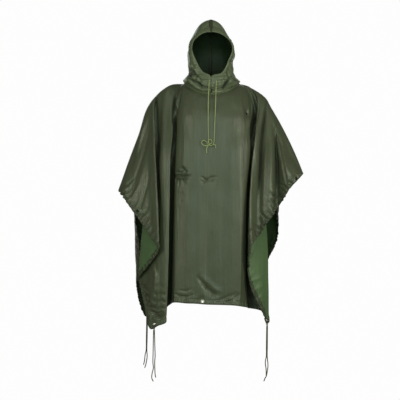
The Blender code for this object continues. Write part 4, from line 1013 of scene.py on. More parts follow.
backCreases = (
    # where the cloth leaves the shoulder blades and starts to hang
    *creases("valley_left", "valley_right",
        ((200, 60), 6, ((-118, -60, -3), (-112, -118, -8), (-96, -150, -9), (-62, -138, -7), (-28, -126, -7),
            (-4, -140, -8), (26, -124, -7), (58, -146, -9), (92, -156, -9), (114, -120, -7), (120, -56, -3))),
    ),
    # long folds down the back, deep near the sides
    *creases("ridge_left", "ridge_left_inner",
        ((9, 12), 2, ((-128, -90, 3), (-142, -200, 10), (-154, -400, 13), (-166, -620, 15), (-178, -900, 13))),
    ),
    *creases("ridge_right_inner", "ridge_right",
        ((12, 9), 2, ((130, -80, 3), (142, -200, 9), (156, -420, 13), (162, -650, 14), (154, -910, 12))),
    ),
    *creases("ridge_left_inner", "centre",
        (8, 0, ((-88, -160, 0), (-92, -300, 4), (-96, -520, 4.5), (-98, -700, 0))),
        (12, 0, ((-58, -220, 0), (-61, -430, -3), (-64, -700, -3.5), (-66, -900, -2))),
    ),
    *creases("centre_left", "centre_right",
        (11, 0, ((-8, -200, 0), (-4, -380, 4), (-8, -620, 4), (-12, -860, 0))),
    ),
    *creases("centre", "ridge_right_inner",
        (10, 0, ((44, -160, 0), (48, -330, -3.5), (50, -560, -3), (48, -840, 0))),
        (7, 0, ((80, -180, 0), (84, -360, 4.5), (88, -560, 5), (90, -760, 0))),
    ),
    # pulled in a little where the waist cord runs inside
    *creases("ridge_left_inner", "centre",
        ((3, 5), 0.8, ((-112, -424, 4), (-88, -430, 10), (-52, -426, 11), (-18, -432, 0))),
        (4, 0, ((-106, -434, 0), (-76, -438, -6), (-40, -436, 0))),
        (3, 0.6,
            ((-92, -432, 7), (-98, -456, 6), (-94, -478, 0)),
            ((-66, -430, 8), (-62, -454, 6), (-68, -474, 0))),
    ),
    *creases("centre", "ridge_right_inner",
        ((3, 4.4), 0.8, ((12, -434, 0), (34, -428, 9), (60, -436, 10), (88, -430, 8), (112, -436, 0))),
        (3, 0.6,
            ((40, -430, 7), (46, -408, 6), (40, -388, 0)),
            ((74, -434, 8), (78, -458, 7), (72, -482, 0))),
    ),
    # swept creases over the hem
    *creases("ridge_left_inner", "centre_right",
        ((5, 8), 2, ((-104, -880, 0), (-80, -902, 9), (-50, -936, 12), (-24, -958, 0))),
    ),
    *creases("centre", "ridge_right_inner",
        ((5, 8), 2, ((98, -892, 0), (74, -916, 8), (48, -944, 10), (28, -962, 0))),
    ),
    *creases("centre_left", "centre_right",
        (4, 1, ((-36, -962, 0), (-12, -950, 6), (14, -954, 6), (36, -966, 0))),
    ),
    # deep folds from the shoulders
    *creases("hem_left", "ridge_left_inner",
        ((3.4, 5), 1.6, ((-122, -10, 4), (-136, -50, 14), (-146, -110, 17), (-152, -190, 10), (-156, -280, 0))),
    ),
    *creases("ridge_right_inner", "corner_right",
        ((5, 3.4), 1.6, ((124, -12, 4), (140, -52, 14), (150, -120, 17), (154, -200, 10), (156, -290, 0))),
    ),
    *creases("sleeve_left_high", "ridge_left",
        ((4, 5), 1.2, ((-204, -34, 4), (-212, -90, 12), (-228, -180, 12), (-240, -300, 6), (-248, -420, 0))),
    ),
    *creases("ridge_right", "edge_right_turn",
        ((5, 4), 1.2, ((214, -40, 4), (222, -100, 12), (236, -190, 12), (248, -310, 6), (256, -420, 0))),
    ),
    # sleeves
    *creases("sleeve_left_low", "hem_left",
        (9, 0, ((-264, -90, 0), (-292, -190, -5), (-318, -320, -5), (-336, -470, 0))),
    ),
    *creases("tip_left", "sleeve_left_high",
        (8, 0, ((-296, -150, 0), (-330, -260, 5), (-358, -390, 6), (-372, -500, 0))),
    ),
    *creases("tip_left", "sleeve_left_mid",
        (8, 0, ((-336, -270, 0), (-366, -370, -4), (-386, -470, 0))),
    ),
    *creases("edge_right_high", "cuff_right",
        (9, 0, ((262, -110, 0), (290, -210, -5), (312, -330, -5), (322, -470, 0))),
    ),
    *creases("sleeve_right_low", "tip_right",
        (8, 0, ((306, -180, 0), (338, -280, 5), (358, -380, 4), (366, -430, 0))),
    ),
    # curved wrinkles above the left corner
    *creases("wrap_left", "ridge_left",
        (3, 1,
            ((-322, -960, 0), (-304, -974, 7), (-284, -972, 6), (-262, -990, 0)),
            ((-316, -1000, 0), (-300, -1014, 7), (-282, -1010, 6), (-256, -1020, 0))),
    ),
)

frontSheet = DrapedSheet(frontFolds, -1, frontCreases, 11)
backSheet = DrapedSheet(backFolds, 1, backCreases, 23)
print("poncho: front and back sheets are cut")

# shells of cloth
shell = {
    "thickness": 0.0007, "hoodThickness": 0.0007,
    "plainStep": 0.0098, "fineStep": 0.0050,
    # fold lines between which the cloth is meshed finely
    "fineFront": (
        ("tip_left", "pleat_left_edge"), ("flap_left_back", "lip_left"), ("wall_left", "centre"),
        ("centre_right_outer", "tip_right"),
    ),
    "fineBack": (("tip_left", "corner_left"), ("corner_right", "tip_right")),
    # how dense the rows are at shares of the length
    "rows": (
        (0, 240), (0.06, 150), (0.10, 100), (0.36, 90), (0.38, 330), (0.43, 330), (0.45, 85), (0.84, 105),
        (0.90, 220), (1, 320),
    ),
    "rowStops": 2000,
}


def ring(name):
    # points, middle and axis of a turned CAD piece
    points = np.array([v.co[:] for v in nodes[name].data.vertices])
    middle = points.mean(axis=0)
    return points, middle, np.linalg.svd(points - middle, full_matrices=False)[2][2]


def joinToScene(made):
    bpy.context.scene.collection.objects.link(made)
    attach(made, "root")
    return made


def meshOf(name, points, faces, uv=None, finishes=()):
    # faces is an array of quads or triangles; uv has one pair for each point, in one or more named layouts
    faces = np.asarray(faces)
    mesh = bpy.data.meshes.new(name)
    mesh.vertices.add(len(points))
    mesh.vertices.foreach_set("co", np.asarray(points, np.float32).ravel())
    mesh.loops.add(faces.size)
    mesh.loops.foreach_set("vertex_index", faces.ravel().astype(np.int32))
    mesh.polygons.add(len(faces))
    mesh.polygons.foreach_set("loop_start", np.arange(0, faces.size, faces.shape[1], dtype=np.int32))
    if uv is not None:
        for layout, pairs in (uv if isinstance(uv, dict) else {"cloth": uv}).items():
            layer = mesh.uv_layers.new(name=layout)
            layer.data.foreach_set("uv", np.asarray(pairs, np.float32)[faces.ravel()].ravel())
    mesh.update(calc_edges=True)
    mesh.validate()
    mesh.shade_smooth()
    for finish in finishes:
        mesh.materials.append(finish)
    return bpy.data.objects.new(name, mesh)


def gridQuads(columns, rows, flip=False):
    a, s = np.meshgrid(np.arange(columns - 1), np.arange(rows - 1), indexing="ij")
    first = (a * rows + s).ravel()
    quads = np.stack([first, first + 1, first + rows + 1, first + rows], axis=1)
    return quads[:, ::-1] if flip else quads


def thicken(made, thickness):
    # the wall grows inward, and its inner face takes the second finish
    wall = made.modifiers.new("wall", "SOLIDIFY")
    wall.thickness = thickness
    wall.offset = -1
    wall.material_offset = 1
    wall.material_offset_rim = 0
    return joinToScene(made)


def placesAcross(sheet):
    fine = [(sheet.place(a), sheet.place(b)) for a, b in shell["fineFront" if sheet.hand < 0 else "fineBack"]]
    places = [sheet.knots[0]]
    for k, step in enumerate(sheet.steps):
        middle = (sheet.knots[k] + sheet.knots[k + 1]) / 2
        spacing = shell["fineStep"] if any(a < middle < b for a, b in fine) else shell["plainStep"]
        count = max(3, round(step / spacing))
        places.extend(np.linspace(sheet.knots[k], sheet.knots[k + 1], count + 1)[1:])
    return np.array(places)


def cutHoles(points, quads, holes):
    # opens a round hole at each eyelet and draws the cut edge to its barrel
    for centre, axis in holes:
        gap = points - centre
        flat = gap - np.outer(gap @ axis, axis)
        away = np.linalg.norm(flat, axis=1)
        near = np.linalg.norm(gap, axis=1) < eyelets["near"]
        middle = points[quads].mean(axis=1) - centre
        middle -= np.outer(middle @ axis, axis)
        gone = (np.linalg.norm(middle, axis=1) < eyelets["hole"] * 0.95) & near[quads].all(axis=1)
        rim = np.intersect1d(quads[gone].ravel(), quads[~gone].ravel())
        quads = quads[~gone]
        points[rim] += flat[rim] * (eyelets["hole"] / np.maximum(away[rim], 1e-6) - 1)[:, None]
    return points, quads


def hangSheet(name, sheet, holes, finishes):
    across = placesAcross(sheet)
    stops = shell["rowStops"]
    fine = np.linspace(0, 1, stops)
    count = summed(np.interp(fine, *zip(*shell["rows"])))[:stops] / stops
    rows = round(count[-1])
    share = np.interp(np.linspace(0, count[-1], rows), count, fine)
    acrossAll, shareAll = np.repeat(across, rows), np.tile(share, len(across))
    points, _ = sheet.finished(acrossAll, shareAll)
    widths = np.interp(acrossAll, sheet.knots, sheet.widths)
    up, along, _ = sheet.fromEdge(acrossAll, shareAll)
    # the fold layout holds how deep the cloth lies, for the painted shade of its creases
    layouts = {
        "cloth": (widths, shareAll * sheet.length(acrossAll)), "edge": (along, up),
        "fold": (sheet.depth(acrossAll, shareAll), up),
    }
    points, quads = cutHoles(points, gridQuads(len(across), rows, sheet.hand > 0), holes)
    uv = {layout: np.stack(pair, axis=1) for layout, pair in layouts.items()}
    made = thicken(meshOf(name, points, quads, uv, finishes), shell["thickness"])
    return made, points, quads


eyelets = {
    "front": ("eyelet_front_left", "eyelet_front_middle", "eyelet_front_right"),
    "back": ("eyelet_back_left", "eyelet_back_middle", "eyelet_back_right"),
    # the cloth lies flat round an eyelet to one distance, and takes up its drape again at the other
    "hole": 0.0068, "near": 0.03, "nearInHem": 0.02, "seat": 0.00035, "flatTo": 0.012, "wide": 0.034,
}
snaps = {
    "names": ("snap_chest", "snap_sleeve_left", "snap_sleeve_right", "snap_side_right"),
    "seat": 0.0002, "flatTo": 0.008, "wide": 0.024,
}
sheets = {"front": frontSheet, "back": backSheet}
holes = {"front": [], "back": []}
for half, sheet in sheets.items():
    for name in eyelets[half]:
        _, middle, axis = ring(name)
        axis = axis * (1 if axis[1] * sheet.hand > 0 else -1)
        holes[half].append((middle, axis))
        sheet.flats.append((middle + axis * eyelets["seat"], axis, eyelets["flatTo"], eyelets["wide"]))
snapSeats = {}
for name in snaps["names"]:
    points, middle, axis = ring(name)
    axis = axis * (1 if axis[1] < 0 else -1)
    seat = middle + axis * ((points - middle) @ axis).min()
    snapSeats[name] = (seat, axis)
    frontSheet.flats.append((seat - axis * snaps["seat"], axis, snaps["flatTo"], snaps["wide"]))

ponchoFront, frontPoints, frontQuads = hangSheet("ponchoFront", frontSheet, holes["front"], (outerNylon, innerNylon))
ponchoBack, _, backQuads = hangSheet("ponchoBack", backSheet, holes["back"], (outerNylon, innerNylon))
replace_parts(ponchoFront, "body_front")
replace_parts(ponchoBack, "body_back")
print("poncho: front hangs in", len(frontQuads), "faces and back in", len(backQuads))


def weld(made, sides=0):
    # joins points that meet and turns every face outward; sides is the most that a filled end may have
    shape = bmesh.new()
    shape.from_mesh(made.data)
    bmesh.ops.remove_doubles(shape, verts=shape.verts, dist=1e-6)
    if sides:
        bmesh.ops.holes_fill(shape, edges=[e for e in shape.edges if e.is_boundary], sides=sides)
    bmesh.ops.recalc_face_normals(shape, faces=shape.faces)
    shape.to_mesh(made.data)
    shape.free()


def loftLoops(name, loops, finish, closeUp=True):
    # skin over rings of points that have one count; closeUp joins each ring's last point to its first
    loops = np.asarray(loops)
    lengths = summed(gapsAlong(loops.mean(axis=1)))
    if closeUp:
        loops = np.concatenate([loops, loops[:, :1]], axis=1)
    count, around = loops.shape[:2]
    uv = np.stack(np.meshgrid(lengths, np.linspace(0, 1, around), indexing="ij"), axis=-1)[..., ::-1]
    made = meshOf(name, loops.reshape(-1, 3), gridQuads(count, around), uv.reshape(-1, 2), (finish,))
    if closeUp:
        weld(made, around + 2)
        made.data.polygons.foreach_set("use_smooth", [True] * len(made.data.polygons))
    return joinToScene(made)


# hems
hemSet = {
    "every": 0.0055, "stops": 1600, "shortest": 0.035, "fallFrom": 0.006, "overlap": 0.02,
    "stitchUp": 0.0172, "stitchPitch": 0.0036, "stitchLong": 0.0026, "stitchThick": 0.00034, "stitchLift": 0.0001,
    "stitchShortest": 0.05, "stitchGap": 0.008,
    # distance up from the edge and height over the outer face, in mm, round the turned cloth
    "section": (
        (2.4, 0.10), (0.6, 0.28), (-0.9, -0.10), (-0.9, -1.2), (0.6, -1.9), (4.0, -2.1), (9.0, -1.9), (15.0, -1.45),
        (17.0, -1.25), (19.0, -1.55), (20.0, -1.0), (19.6, -0.45), (10.0, -0.35), (2.4, -0.30),
    ),
}


def edgeMarks(sheet, first, last, every):
    # places across the sheet, evenly spaced along its lower edge
    fine = np.linspace(first, last, hemSet["stops"])
    along = summed(gapsAlong(sheet.smooth(fine, np.ones(hemSet["stops"]))))
    return np.interp(np.arange(0, along[-1], every), along, fine)


def nearEdge(sheet, across, up):
    # finished points and outward directions at a distance up from the edge, in metres
    share = 1 - up / np.maximum(sheet.slantAt(across) * sheet.length(across), 1e-3)
    return sheet.finished(across, np.clip(share, 0.3, 1))


def turnHem(name, sheet, first, last, node=None):
    across = edgeMarks(sheet, first, last, hemSet["every"])
    across = across[sheet.length(across) > hemSet["shortest"]]
    tip, _ = nearEdge(sheet, across, 0.0)
    above, _ = nearEdge(sheet, across, hemSet["fallFrom"])
    down = unit(tip - above)
    rings = []
    for up, height in hemSet["section"]:
        points, out = nearEdge(sheet, across, max(up, 0) * mm)
        rings.append(points + out * height * mm + down * max(-up, 0) * mm)
    made = loftLoops(name, np.stack(rings, axis=1), hemNylon)
    for centre, axis in holes["front" if sheet.hand < 0 else "back"]:
        punchHole(made, centre, axis)
    if node:
        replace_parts(made, node)
    return made


def punchHole(made, centre, axis):
    # opens a hem where an eyelet's barrel goes through it
    shape = bmesh.new()
    shape.from_mesh(made.data)

    def fromAxis(point):
        gap = np.array(point) - centre
        flat = gap - axis * (gap @ axis)
        return np.linalg.norm(gap), flat, np.linalg.norm(flat)

    gone = []
    for face in shape.faces:
        far, _, away = fromAxis(face.calc_center_median())
        if far < eyelets["nearInHem"] and away < eyelets["hole"]:
            gone.append(face)
    bmesh.ops.delete(shape, geom=gone, context="FACES")
    for vert in shape.verts:
        if vert.is_boundary:
            _, flat, away = fromAxis(vert.co)
            if away < eyelets["nearInHem"]:
                vert.co = Vector(np.array(vert.co) + flat * (eyelets["hole"] / max(away, 1e-6) - 1))
    shape.to_mesh(made.data)
    shape.free()


def stitchPlaces(points, out, lift=0.0, longest=1.0):
    # Each place is a point, its outward direction and the way the stitch runs. Longer gaps are left out.
    runs = unit(np.diff(points, axis=0))
    return [(points[k] + out[k] * lift, out[k], runs[k]) for k in np.flatnonzero(gapsAlong(points) < longest)]


def stitchRow(name, places):
    # short raised stitches
    long, thick = hemSet["stitchLong"] / 2, hemSet["stitchThick"]
    points, faces = [], []
    for middle, out, run in places:
        side = np.cross(out, run)
        start = len(points)
        points += [middle - run * long, middle + side * thick, middle + out * thick * 1.4, middle - side * thick,
                   middle - out * thick, middle + run * long]
        for i in range(4):
            here, after = start + 1 + i, start + 1 + (i + 1) % 4
            faces += [(start, after, here), (start + 5, here, after)]
    return joinToScene(meshOf(name, np.array(points), np.array(faces), None, (hemThread,)))


def hemStitches(sheet, first, last):
    across = edgeMarks(sheet, first, last, hemSet["stitchPitch"])
    across = across[sheet.length(across) > hemSet["stitchShortest"]]
    points, out = nearEdge(sheet, across, hemSet["stitchUp"])
    return stitchPlaces(points, out, hemSet["stitchLift"], hemSet["stitchGap"])


threads = []
for half, sheet in sheets.items():
    left, right, over = sheet.place("corner_left"), sheet.place("corner_right"), hemSet["overlap"]
    tips = sheet.knots[0], sheet.knots[-1]
    turnHem(f"{half}HemLeft", sheet, tips[0], left + over, f"side_hem_{half}_left")
    turnHem(f"{half}HemRight", sheet, right - over, tips[1], f"side_hem_{half}_right")
    turnHem(f"{half}HemBottom", sheet, left - over, right + over)
    threads += hemStitches(sheet, *tips)
print("poncho: six hems are turned, with", len(threads), "stitches")

# hood
hoodSet = {
    "tall": 0.40, "acrossStep": 0.0034, "rows": 116, "channelWide": 0.030,
    "facePuckers": 60, "puckerDepth": 0.0034, "puckerEvery": 0.015, "puckerReach": 0.022, "puckerWidth": 0.0042,
    "neckPuckers": 40, "neckDepth": 0.0030, "neckEvery": 0.016, "neckReach": 0.018, "neckWidth": 0.006,
    "everySpread": (0.6, 1.5), "depthSpread": (0.3, 1.3), "reachSpread": (0.5, 1.8), "neckSpread": (0.2, 1.4),
    "slant": 0.25, "waves": 0.0008, "neckFade": 0.03,
    # the seam over the crown and down the nape pulls the cloth in a little
    "seamDip": 0.0016, "seamReach": 0.018,
    # each half stays this far from the middle, before and after it is puckered
    "apart": 0.00015, "apartPuckered": 0.00010,
}


class HoodHalf(ClothHalf):
    # smooth surface through the runs of one half of the hood
    def __init__(self, runs, hand, creases, seed):
        super().__init__([row[0] for row in runs], hand, creases)
        lines = []
        for _, turn, *rest in runs:
            line = [self.origin(turn)] + [np.array(point) * mm for point in rest]
            line.insert(-1, line[-1] + (line[-2] - line[-1]) * np.array(crown["leftToGo"]))
            lines.append(line)
        self.layOut(lines, (*hoodStations[:-1], crown["station"], hoodStations[-1]))
        self.turns = [row[1] for row in runs]
        chords = (self.lines[:, -1] - self.lines[:, -2]) / (1 - crown["station"])
        self.crownSlopes = chords * np.array(crown["seamSlope"])
        # where the face channel is sewn on
        self.seam = self.knots[1] / max(1, round(self.steps[0] / hoodSet["channelWide"]))
        luck = np.random.default_rng(seed)
        count = hoodSet["facePuckers"]
        self.faceSpots = np.cumsum(hoodSet["puckerEvery"] * luck.uniform(*hoodSet["everySpread"], count))
        self.faceDepths = hoodSet["puckerDepth"] * luck.uniform(*hoodSet["depthSpread"], count)
        self.faceReach = hoodSet["puckerReach"] * luck.uniform(*hoodSet["reachSpread"], count)
        count = hoodSet["neckPuckers"]
        self.neckSpots = np.cumsum(hoodSet["neckEvery"] * luck.uniform(*hoodSet["everySpread"], count))
        self.neckDepths = hoodSet["neckDepth"] * luck.uniform(*hoodSet["neckSpread"], count)

    def origin(self, turn):
        return neckPoint(self.hand * turn) + np.array((0, 0, crown["lift"]))

    def smooth(self, across, share):
        across, share = np.asarray(across, float).ravel(), np.asarray(share, float).ravel()
        origins = self.origin(np.interp(across, self.knots, self.turns))
        points = self.surface(across, share, origins, endSlope=self.crownSlopes)
        points[:, 0] = self.hand * np.maximum(self.hand * points[:, 0], hoodSet["apart"])
        return points

    def gathers(self, across, share):
        up = (share * hoodSet["tall"])[:, None]
        back = (np.interp(across, self.knots, self.widths) - np.interp(self.seam, self.knots, self.widths))[:, None]
        face = self.faceDepths * bell(up - self.faceSpots - back * hoodSet["slant"], hoodSet["puckerWidth"])
        base = self.neckDepths * bell(back - self.neckSpots, hoodSet["neckWidth"])
        height = -(face * np.exp(-np.abs(back) / self.faceReach)).sum(axis=1)
        return height - (base * np.exp(-up / hoodSet["neckReach"])).sum(axis=1)

    def settled(self, height, points, share):
        # small waves all over, the pull of the seam, and all of it fades out at the neck
        y, z = points[:, 1], points[:, 2]
        height = height + hoodSet["waves"] * np.sin(y * 61 + 3 * np.sin(z * 19)) * np.sin(z * 37 + self.hand)
        height = height - hoodSet["seamDip"] * bell(1 - share, hoodSet["seamReach"])
        return height * eased((share + 0.01) / hoodSet["neckFade"])

    def finished(self, across, share):
        points, out = super().finished(across, share)
        points[:, 0] = self.hand * np.maximum(self.hand * points[:, 0], hoodSet["apartPuckered"])
        return points, out


hoodCreasesLeft = (
    *creases("edge", "side",
        (6, 0, ((-103, 41, -2), (-70, 20, -6), (-41, -2, -7), (-17, -18, -4))),
        ((3, 4), 1.2, ((-75, 19, 3), (-58, 2, 12), (-41, -17, 13), (-25, -30, 6))),
    ),
    *creases("edge", "rear",
        ((3, 4), 1.2, ((-113, 33, 5), (-98, 20, 12), (-80, 4, 12), (-69, -6, 4))),
    ),
    *creases("edge", "side",
        (4.4, 0, ((-110, 17, -2), (-87, -2, -5), (-60, -21, -6), (-32, -33, -4))),
        ((2.6, 3.4), 0.8, ((-110, 0, 4), (-87, -15, 8), (-60, -29, 9), (-32, -39, 10), (-1, -40, 12))),
        (3, 0.8, ((-66, 74, 1), (-80, 51, 7), (-97, 28, 3))),
        (2.8, 0.8,
            ((-53, 52, 1), (-67, 32, 8), (-78, 14, 2)),
            ((-34, 33, 1), (-44, 11, 8), (-52, -5, 1))),
    ),
    *creases("edge", "cheek",
        (2.6, 0.8,
            ((-14, 25, 2), (-19, 2, 8), (-17, -18, 2)),
            ((-48, 9, 2), (-29, -3, 7), (-9, -11, 2))),
    ),
    *creases("edge", "rear",
        (7, 0, ((-90, 184, 0), (-95, 138, -3), (-92, 83, -3.5), (-83, 46, 0))),
        (5, 0, ((-76, 147, 0), (-78, 110, 4), (-83, 74, 4), (-97, 41, 3))),
        ((4, 9), 2, ((-120, 64, 4), (-109, 51, 14), (-99, 40, 12), (-89, 32, 2))),
    ),
    *creases("edge", "side",
        (8, 0, ((-18, 285, -1), (-46, 248, -4), (-72, 212, -4), (-87, 175, 0))),
        ((4, 5), 1.2, ((-25, 273, 1), (-47, 241, 6), (-66, 212, 2))),
        (3, 0.8, ((-12, 285, 2), (-21, 265, 6), (-37, 244, 2))),
        ((3, 4), 0.9, ((-114, 101, 2), (-101, 75, 8), (-83, 52, 10), (-62, 32, 6))),
        (4, 0, ((-106, 110, 0), (-90, 81, -4), (-71, 57, -4))),
        ((2.8, 3.4), 0.8, ((-94, 20, 2), (-75, 6, 8), (-53, -9, 9), (-34, -21, 2))),
        (2.6, 0.7,
            ((-78, 44, 1), (-69, 18, 7), (-53, -3, 1)),
            ((-52, 25, 1), (-50, 2, 7), (-40, -16, 1))),
    ),
    *sideCreases("cheek", "nape",
        ((5, 9), 1.5, ((-70, 196, 0), (-34, 150, 7), (4, 112, 10), (40, 88, 8), (74, 76, 0))),
        ((9, 5), 1.5, ((-78, 120, 0), (-44, 92, 7), (-6, 66, 10), (30, 52, 8), (70, 46, 0))),
        (12, 0, ((-66, 160, 0), (-26, 120, -5), (14, 90, -5), (56, 66, 0))),
        ((4, 6), 1, ((-40, 52, 0), (-8, 40, 8), (26, 34, 8), (62, 38, 0))),
        (9, 0, ((-30, 262, 0), (6, 240, 5), (44, 214, 5), (74, 180, 0))),
        (10, 0, ((0, 270, 0), (36, 246, -4), (70, 212, 0))),
    ),
)
hoodCreasesRight = (
    *creases("edge", "rear",
        ((5, 3.4), 1, ((92, 23, 8), (74, -1, 22), (59, -21, 24), (48, -37, 16))),
    ),
    *creases("edge", "side",
        (5, 0, ((74, 29, -2), (55, 2, -6), (40, -26, -7), (34, -37, -3))),
        ((3.4, 2.6), 0.8, ((1, -40, 12), (28, -40, 12), (51, -36, 8), (74, -25, 6), (97, -12, 6))),
    ),
    *creases("edge", "rear",
        (4.6, 0, ((67, -32, -2), (87, -16, -6), (115, 5, -6), (138, 18, -2))),
    ),
    *creases("edge", "side",
        (4, 1, ((101, 113, 4), (86, 92, 12), (77, 64, 12), (81, 37, 8), (90, 23, 2))),
        (6, 0, ((91, 101, -2), (97, 74, -6), (97, 46, -6), (86, 23, -2))),
        (3, 0.8, ((53, 55, 1), (63, 39, 8), (72, 18, 2))),
        (2.8, 0.8, ((39, 40, 1), (46, 20, 8), (52, 0, 2))),
        (2.6, 0.8,
            ((69, 83, 1), (81, 72, 7), (92, 55, 2)),
            ((63, 66, 1), (75, 52, 7), (83, 32, 2))),
    ),
    *creases("edge", "cheek",
        (2.6, 0.8, ((14, 23, 2), (19, 0, 9), (14, -28, 3))),
        (2.4, 0.8, ((28, 16, 1), (35, 0, 6), (32, -18, 1))),
    ),
    *creases("edge", "rear",
        (4, 0.9, ((99, 28, 3), (121, 14, 10), (143, -5, 6))),
        (6, 0, ((94, 184, 0), (100, 152, -5), (97, 124, -4), (85, 101, 0))),
    ),
    *creases("edge", "side",
        (3.4, 0.8, ((3, 287, 3), (6, 269, 9), (6, 244, 6))),
        (3, 0.8,
            ((16, 282, 2), (25, 264, 7), (40, 244, 2)),
            ((29, 276, 1), (43, 258, 6), (60, 235, 1))),
        (7, 0, ((37, 264, 0), (63, 230, -4), (85, 198, -4), (94, 175, 0))),
        ((3, 3.6), 0.9, ((74, 18, 2), (94, 32, 8), (109, 48, 9), (115, 69, 2))),
        (2.6, 0.7,
            ((23, 11, 1), (40, -9, 8), (48, -28, 2)),
            ((46, 34, 1), (62, 17, 8), (66, -2, 1))),
    ),
    *sideCreases("cheek", "nape",
        ((5, 9), 1.5, ((-74, 206, 0), (-36, 172, 7), (2, 130, 10), (36, 98, 8), (72, 84, 0))),
        ((8, 5), 1.5, ((-80, 96, 0), (-46, 84, 7), (-10, 70, 10), (24, 48, 8), (60, 44, 0))),
        (12, 0, ((-70, 150, 0), (-30, 128, -5), (8, 98, -5), (50, 70, 0))),
        ((4, 6), 1, ((-48, 44, 0), (-14, 36, 8), (20, 38, 7), (56, 30, 0))),
        (9, 0, ((-22, 258, 0), (14, 238, 5), (48, 206, 5), (76, 172, 0))),
    ),
)
hoodLeft = HoodHalf(hoodRunsLeft, -1, hoodCreasesLeft, 5)
hoodRight = HoodHalf(hoodRunsRight, 1, hoodCreasesRight, 6)


def sewHoodHalf(name, hood, node):
    across = [hood.seam]
    for k, step in enumerate(hood.steps):
        low, high = max(hood.knots[k], hood.seam), hood.knots[k + 1]
        count = max(3, round(step * (high - low) / (high - hood.knots[k]) / hoodSet["acrossStep"]))
        across.extend(np.linspace(low, high, count + 1)[1:])
    rows = hoodSet["rows"]
    acrossAll, shareAll = np.repeat(across, rows), np.tile(np.linspace(0, 1, rows), len(across))
    points, _ = hood.finished(acrossAll, shareAll)
    widths = np.interp(acrossAll, hood.knots, hood.widths)
    # the fold layout holds how deep the cloth lies, for the painted shade of its creases
    uv = {
        "cloth": np.stack([widths, shareAll * hoodSet["tall"]], axis=1),
        "fold": np.stack([hood.depth(acrossAll, shareAll), shareAll], axis=1),
    }
    made = meshOf(name, points, gridQuads(len(across), rows, hood.hand > 0), uv, (paintedLightHoodFinish, paintedShadeLiningFinish))
    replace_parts(thicken(made, shell["hoodThickness"]), node)
    return made


hoodHalfLeft = sewHoodHalf("hoodHalfLeft", hoodLeft, "hood_left")
hoodHalfRight = sewHoodHalf("hoodHalfRight", hoodRight, "hood_right")

# seams of the hood
seamSet = {
    "neckStops": 260, "neckLength": 0.78, "pitch": 0.0036, "stitchInset": 0.0036, "stitchLift": 0.0009,
    "crownHalfWidth": 0.0048, "crownStops": 90, "crownInner": 0.0008, "channelMargin": 0.004,
    # heights of the crown seam over the cloth and under it, from its edge to its middle
    "crownOver": (0.0001, 0.0008, 0.0012), "crownUnder": (0.0012, 0.0020),
    # distance below the seam on the sheet or above it on the hood, in metres, and height over the cloth in mm
    "neckSection": (
        (0.0058, 0, 0.2), (0.0052, 0, 0.9), (0.0030, 0, 1.2), (0.0006, 0, 1.7), (0, 0.0016, 1.9), (0, 0.0034, 1.1),
        (0, 0.0042, 0.2), (0, 0.0034, -0.9), (0.0004, 0, -1.3), (0.0040, 0, -1.0),
    ),
    "neckStitches": ((0.0042, 0, 1.1), (0, 0.0062, 0.05)),
}
channel = {
    "stops": 260, "pucker": 0.0021, "every": 0.0085, "inside": 0.6, "rimPucker": 0.0006, "fadeOver": 0.02,
    # share of the way from the free edge to the seam, and height over the plain cloth in mm
    "section": (
        (0.00, 0.2), (0.06, 1.3), (0.20, 2.3), (0.40, 2.9), (0.60, 2.8), (0.80, 2.0), (0.94, 0.9), (1.06, 0.35),
        (1.06, -0.2), (0.94, -1.2), (0.70, -1.7), (0.40, -1.9), (0.15, -1.5), (0.03, -0.7),
    ),
}


def sewFaceChannel():
    half = channel["stops"] // 2
    shares = np.linspace(0.0, 1.0, half)
    parts = []
    for hood, order in ((hoodLeft, shares), (hoodRight, shares[::-1])):
        edge = hood.smooth(np.zeros(half), order)
        seam, _ = hood.finished(np.full(half, hood.seam), order)
        along = np.zeros((half, 3))
        along[1:-1] = edge[2:] - edge[:-2]
        along[0], along[-1] = along[1], along[-2]
        out = unit(np.cross(along, seam - edge))
        out *= np.sign((out * (edge - np.array((0, 0.02, 0.12)))).sum(axis=1))[:, None]
        parts.append((edge, seam, out))
    edge, seam, out = (np.concatenate(pair) for pair in zip(*parts))
    for part in (edge, out):                     # one soft turn over the crown, where the halves meet
        middle = slice(half - 3, half + 3)
        part[middle] = np.linspace(part[half - 4], part[half + 3], 8)[1:-1]
    out = unit(out)
    along = summed(gapsAlong(edge))
    wave = np.sin(along / channel["every"] * math.tau + 1.7 * np.sin(along * 55) + 0.8 * np.sin(along * 131))
    # more gathered under the chin
    full = np.clip(1.6 - (edge[:, 2] - 0.02) / 0.09, 0.55, 1.6) * easedEnds(along, channel["fadeOver"])
    rings = []
    for share, height in channel["section"]:
        swell = math.sin(math.pi * min(1, max(0, share)))
        rise = height * mm + channel["pucker"] * wave * full * swell * (1 if height > 0 else channel["inside"])
        points = edge * (1 - share) + seam * share + out * rise[:, None]
        if share < 0.1:
            points = points + unit(edge - seam) * (channel["rimPucker"] * wave * full)[:, None]
        rings.append(points)
    made = loftLoops("faceChannel", np.stack(rings, axis=1), paintedLightHoodFinish)
    made.data.materials.append(hemNylon)
    for face in made.data.polygons:              # the crown seam runs on over the channel
        face.material_index = int(abs(face.center.x) < seamSet["crownHalfWidth"] and face.center.z > 0.1)
    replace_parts(made, "face_tunnel")
    return made, edge, seam, out


faceChannel, channelEdge, channelSeam, channelOut = sewFaceChannel()
print("poncho: hood is sewn, and its face channel")


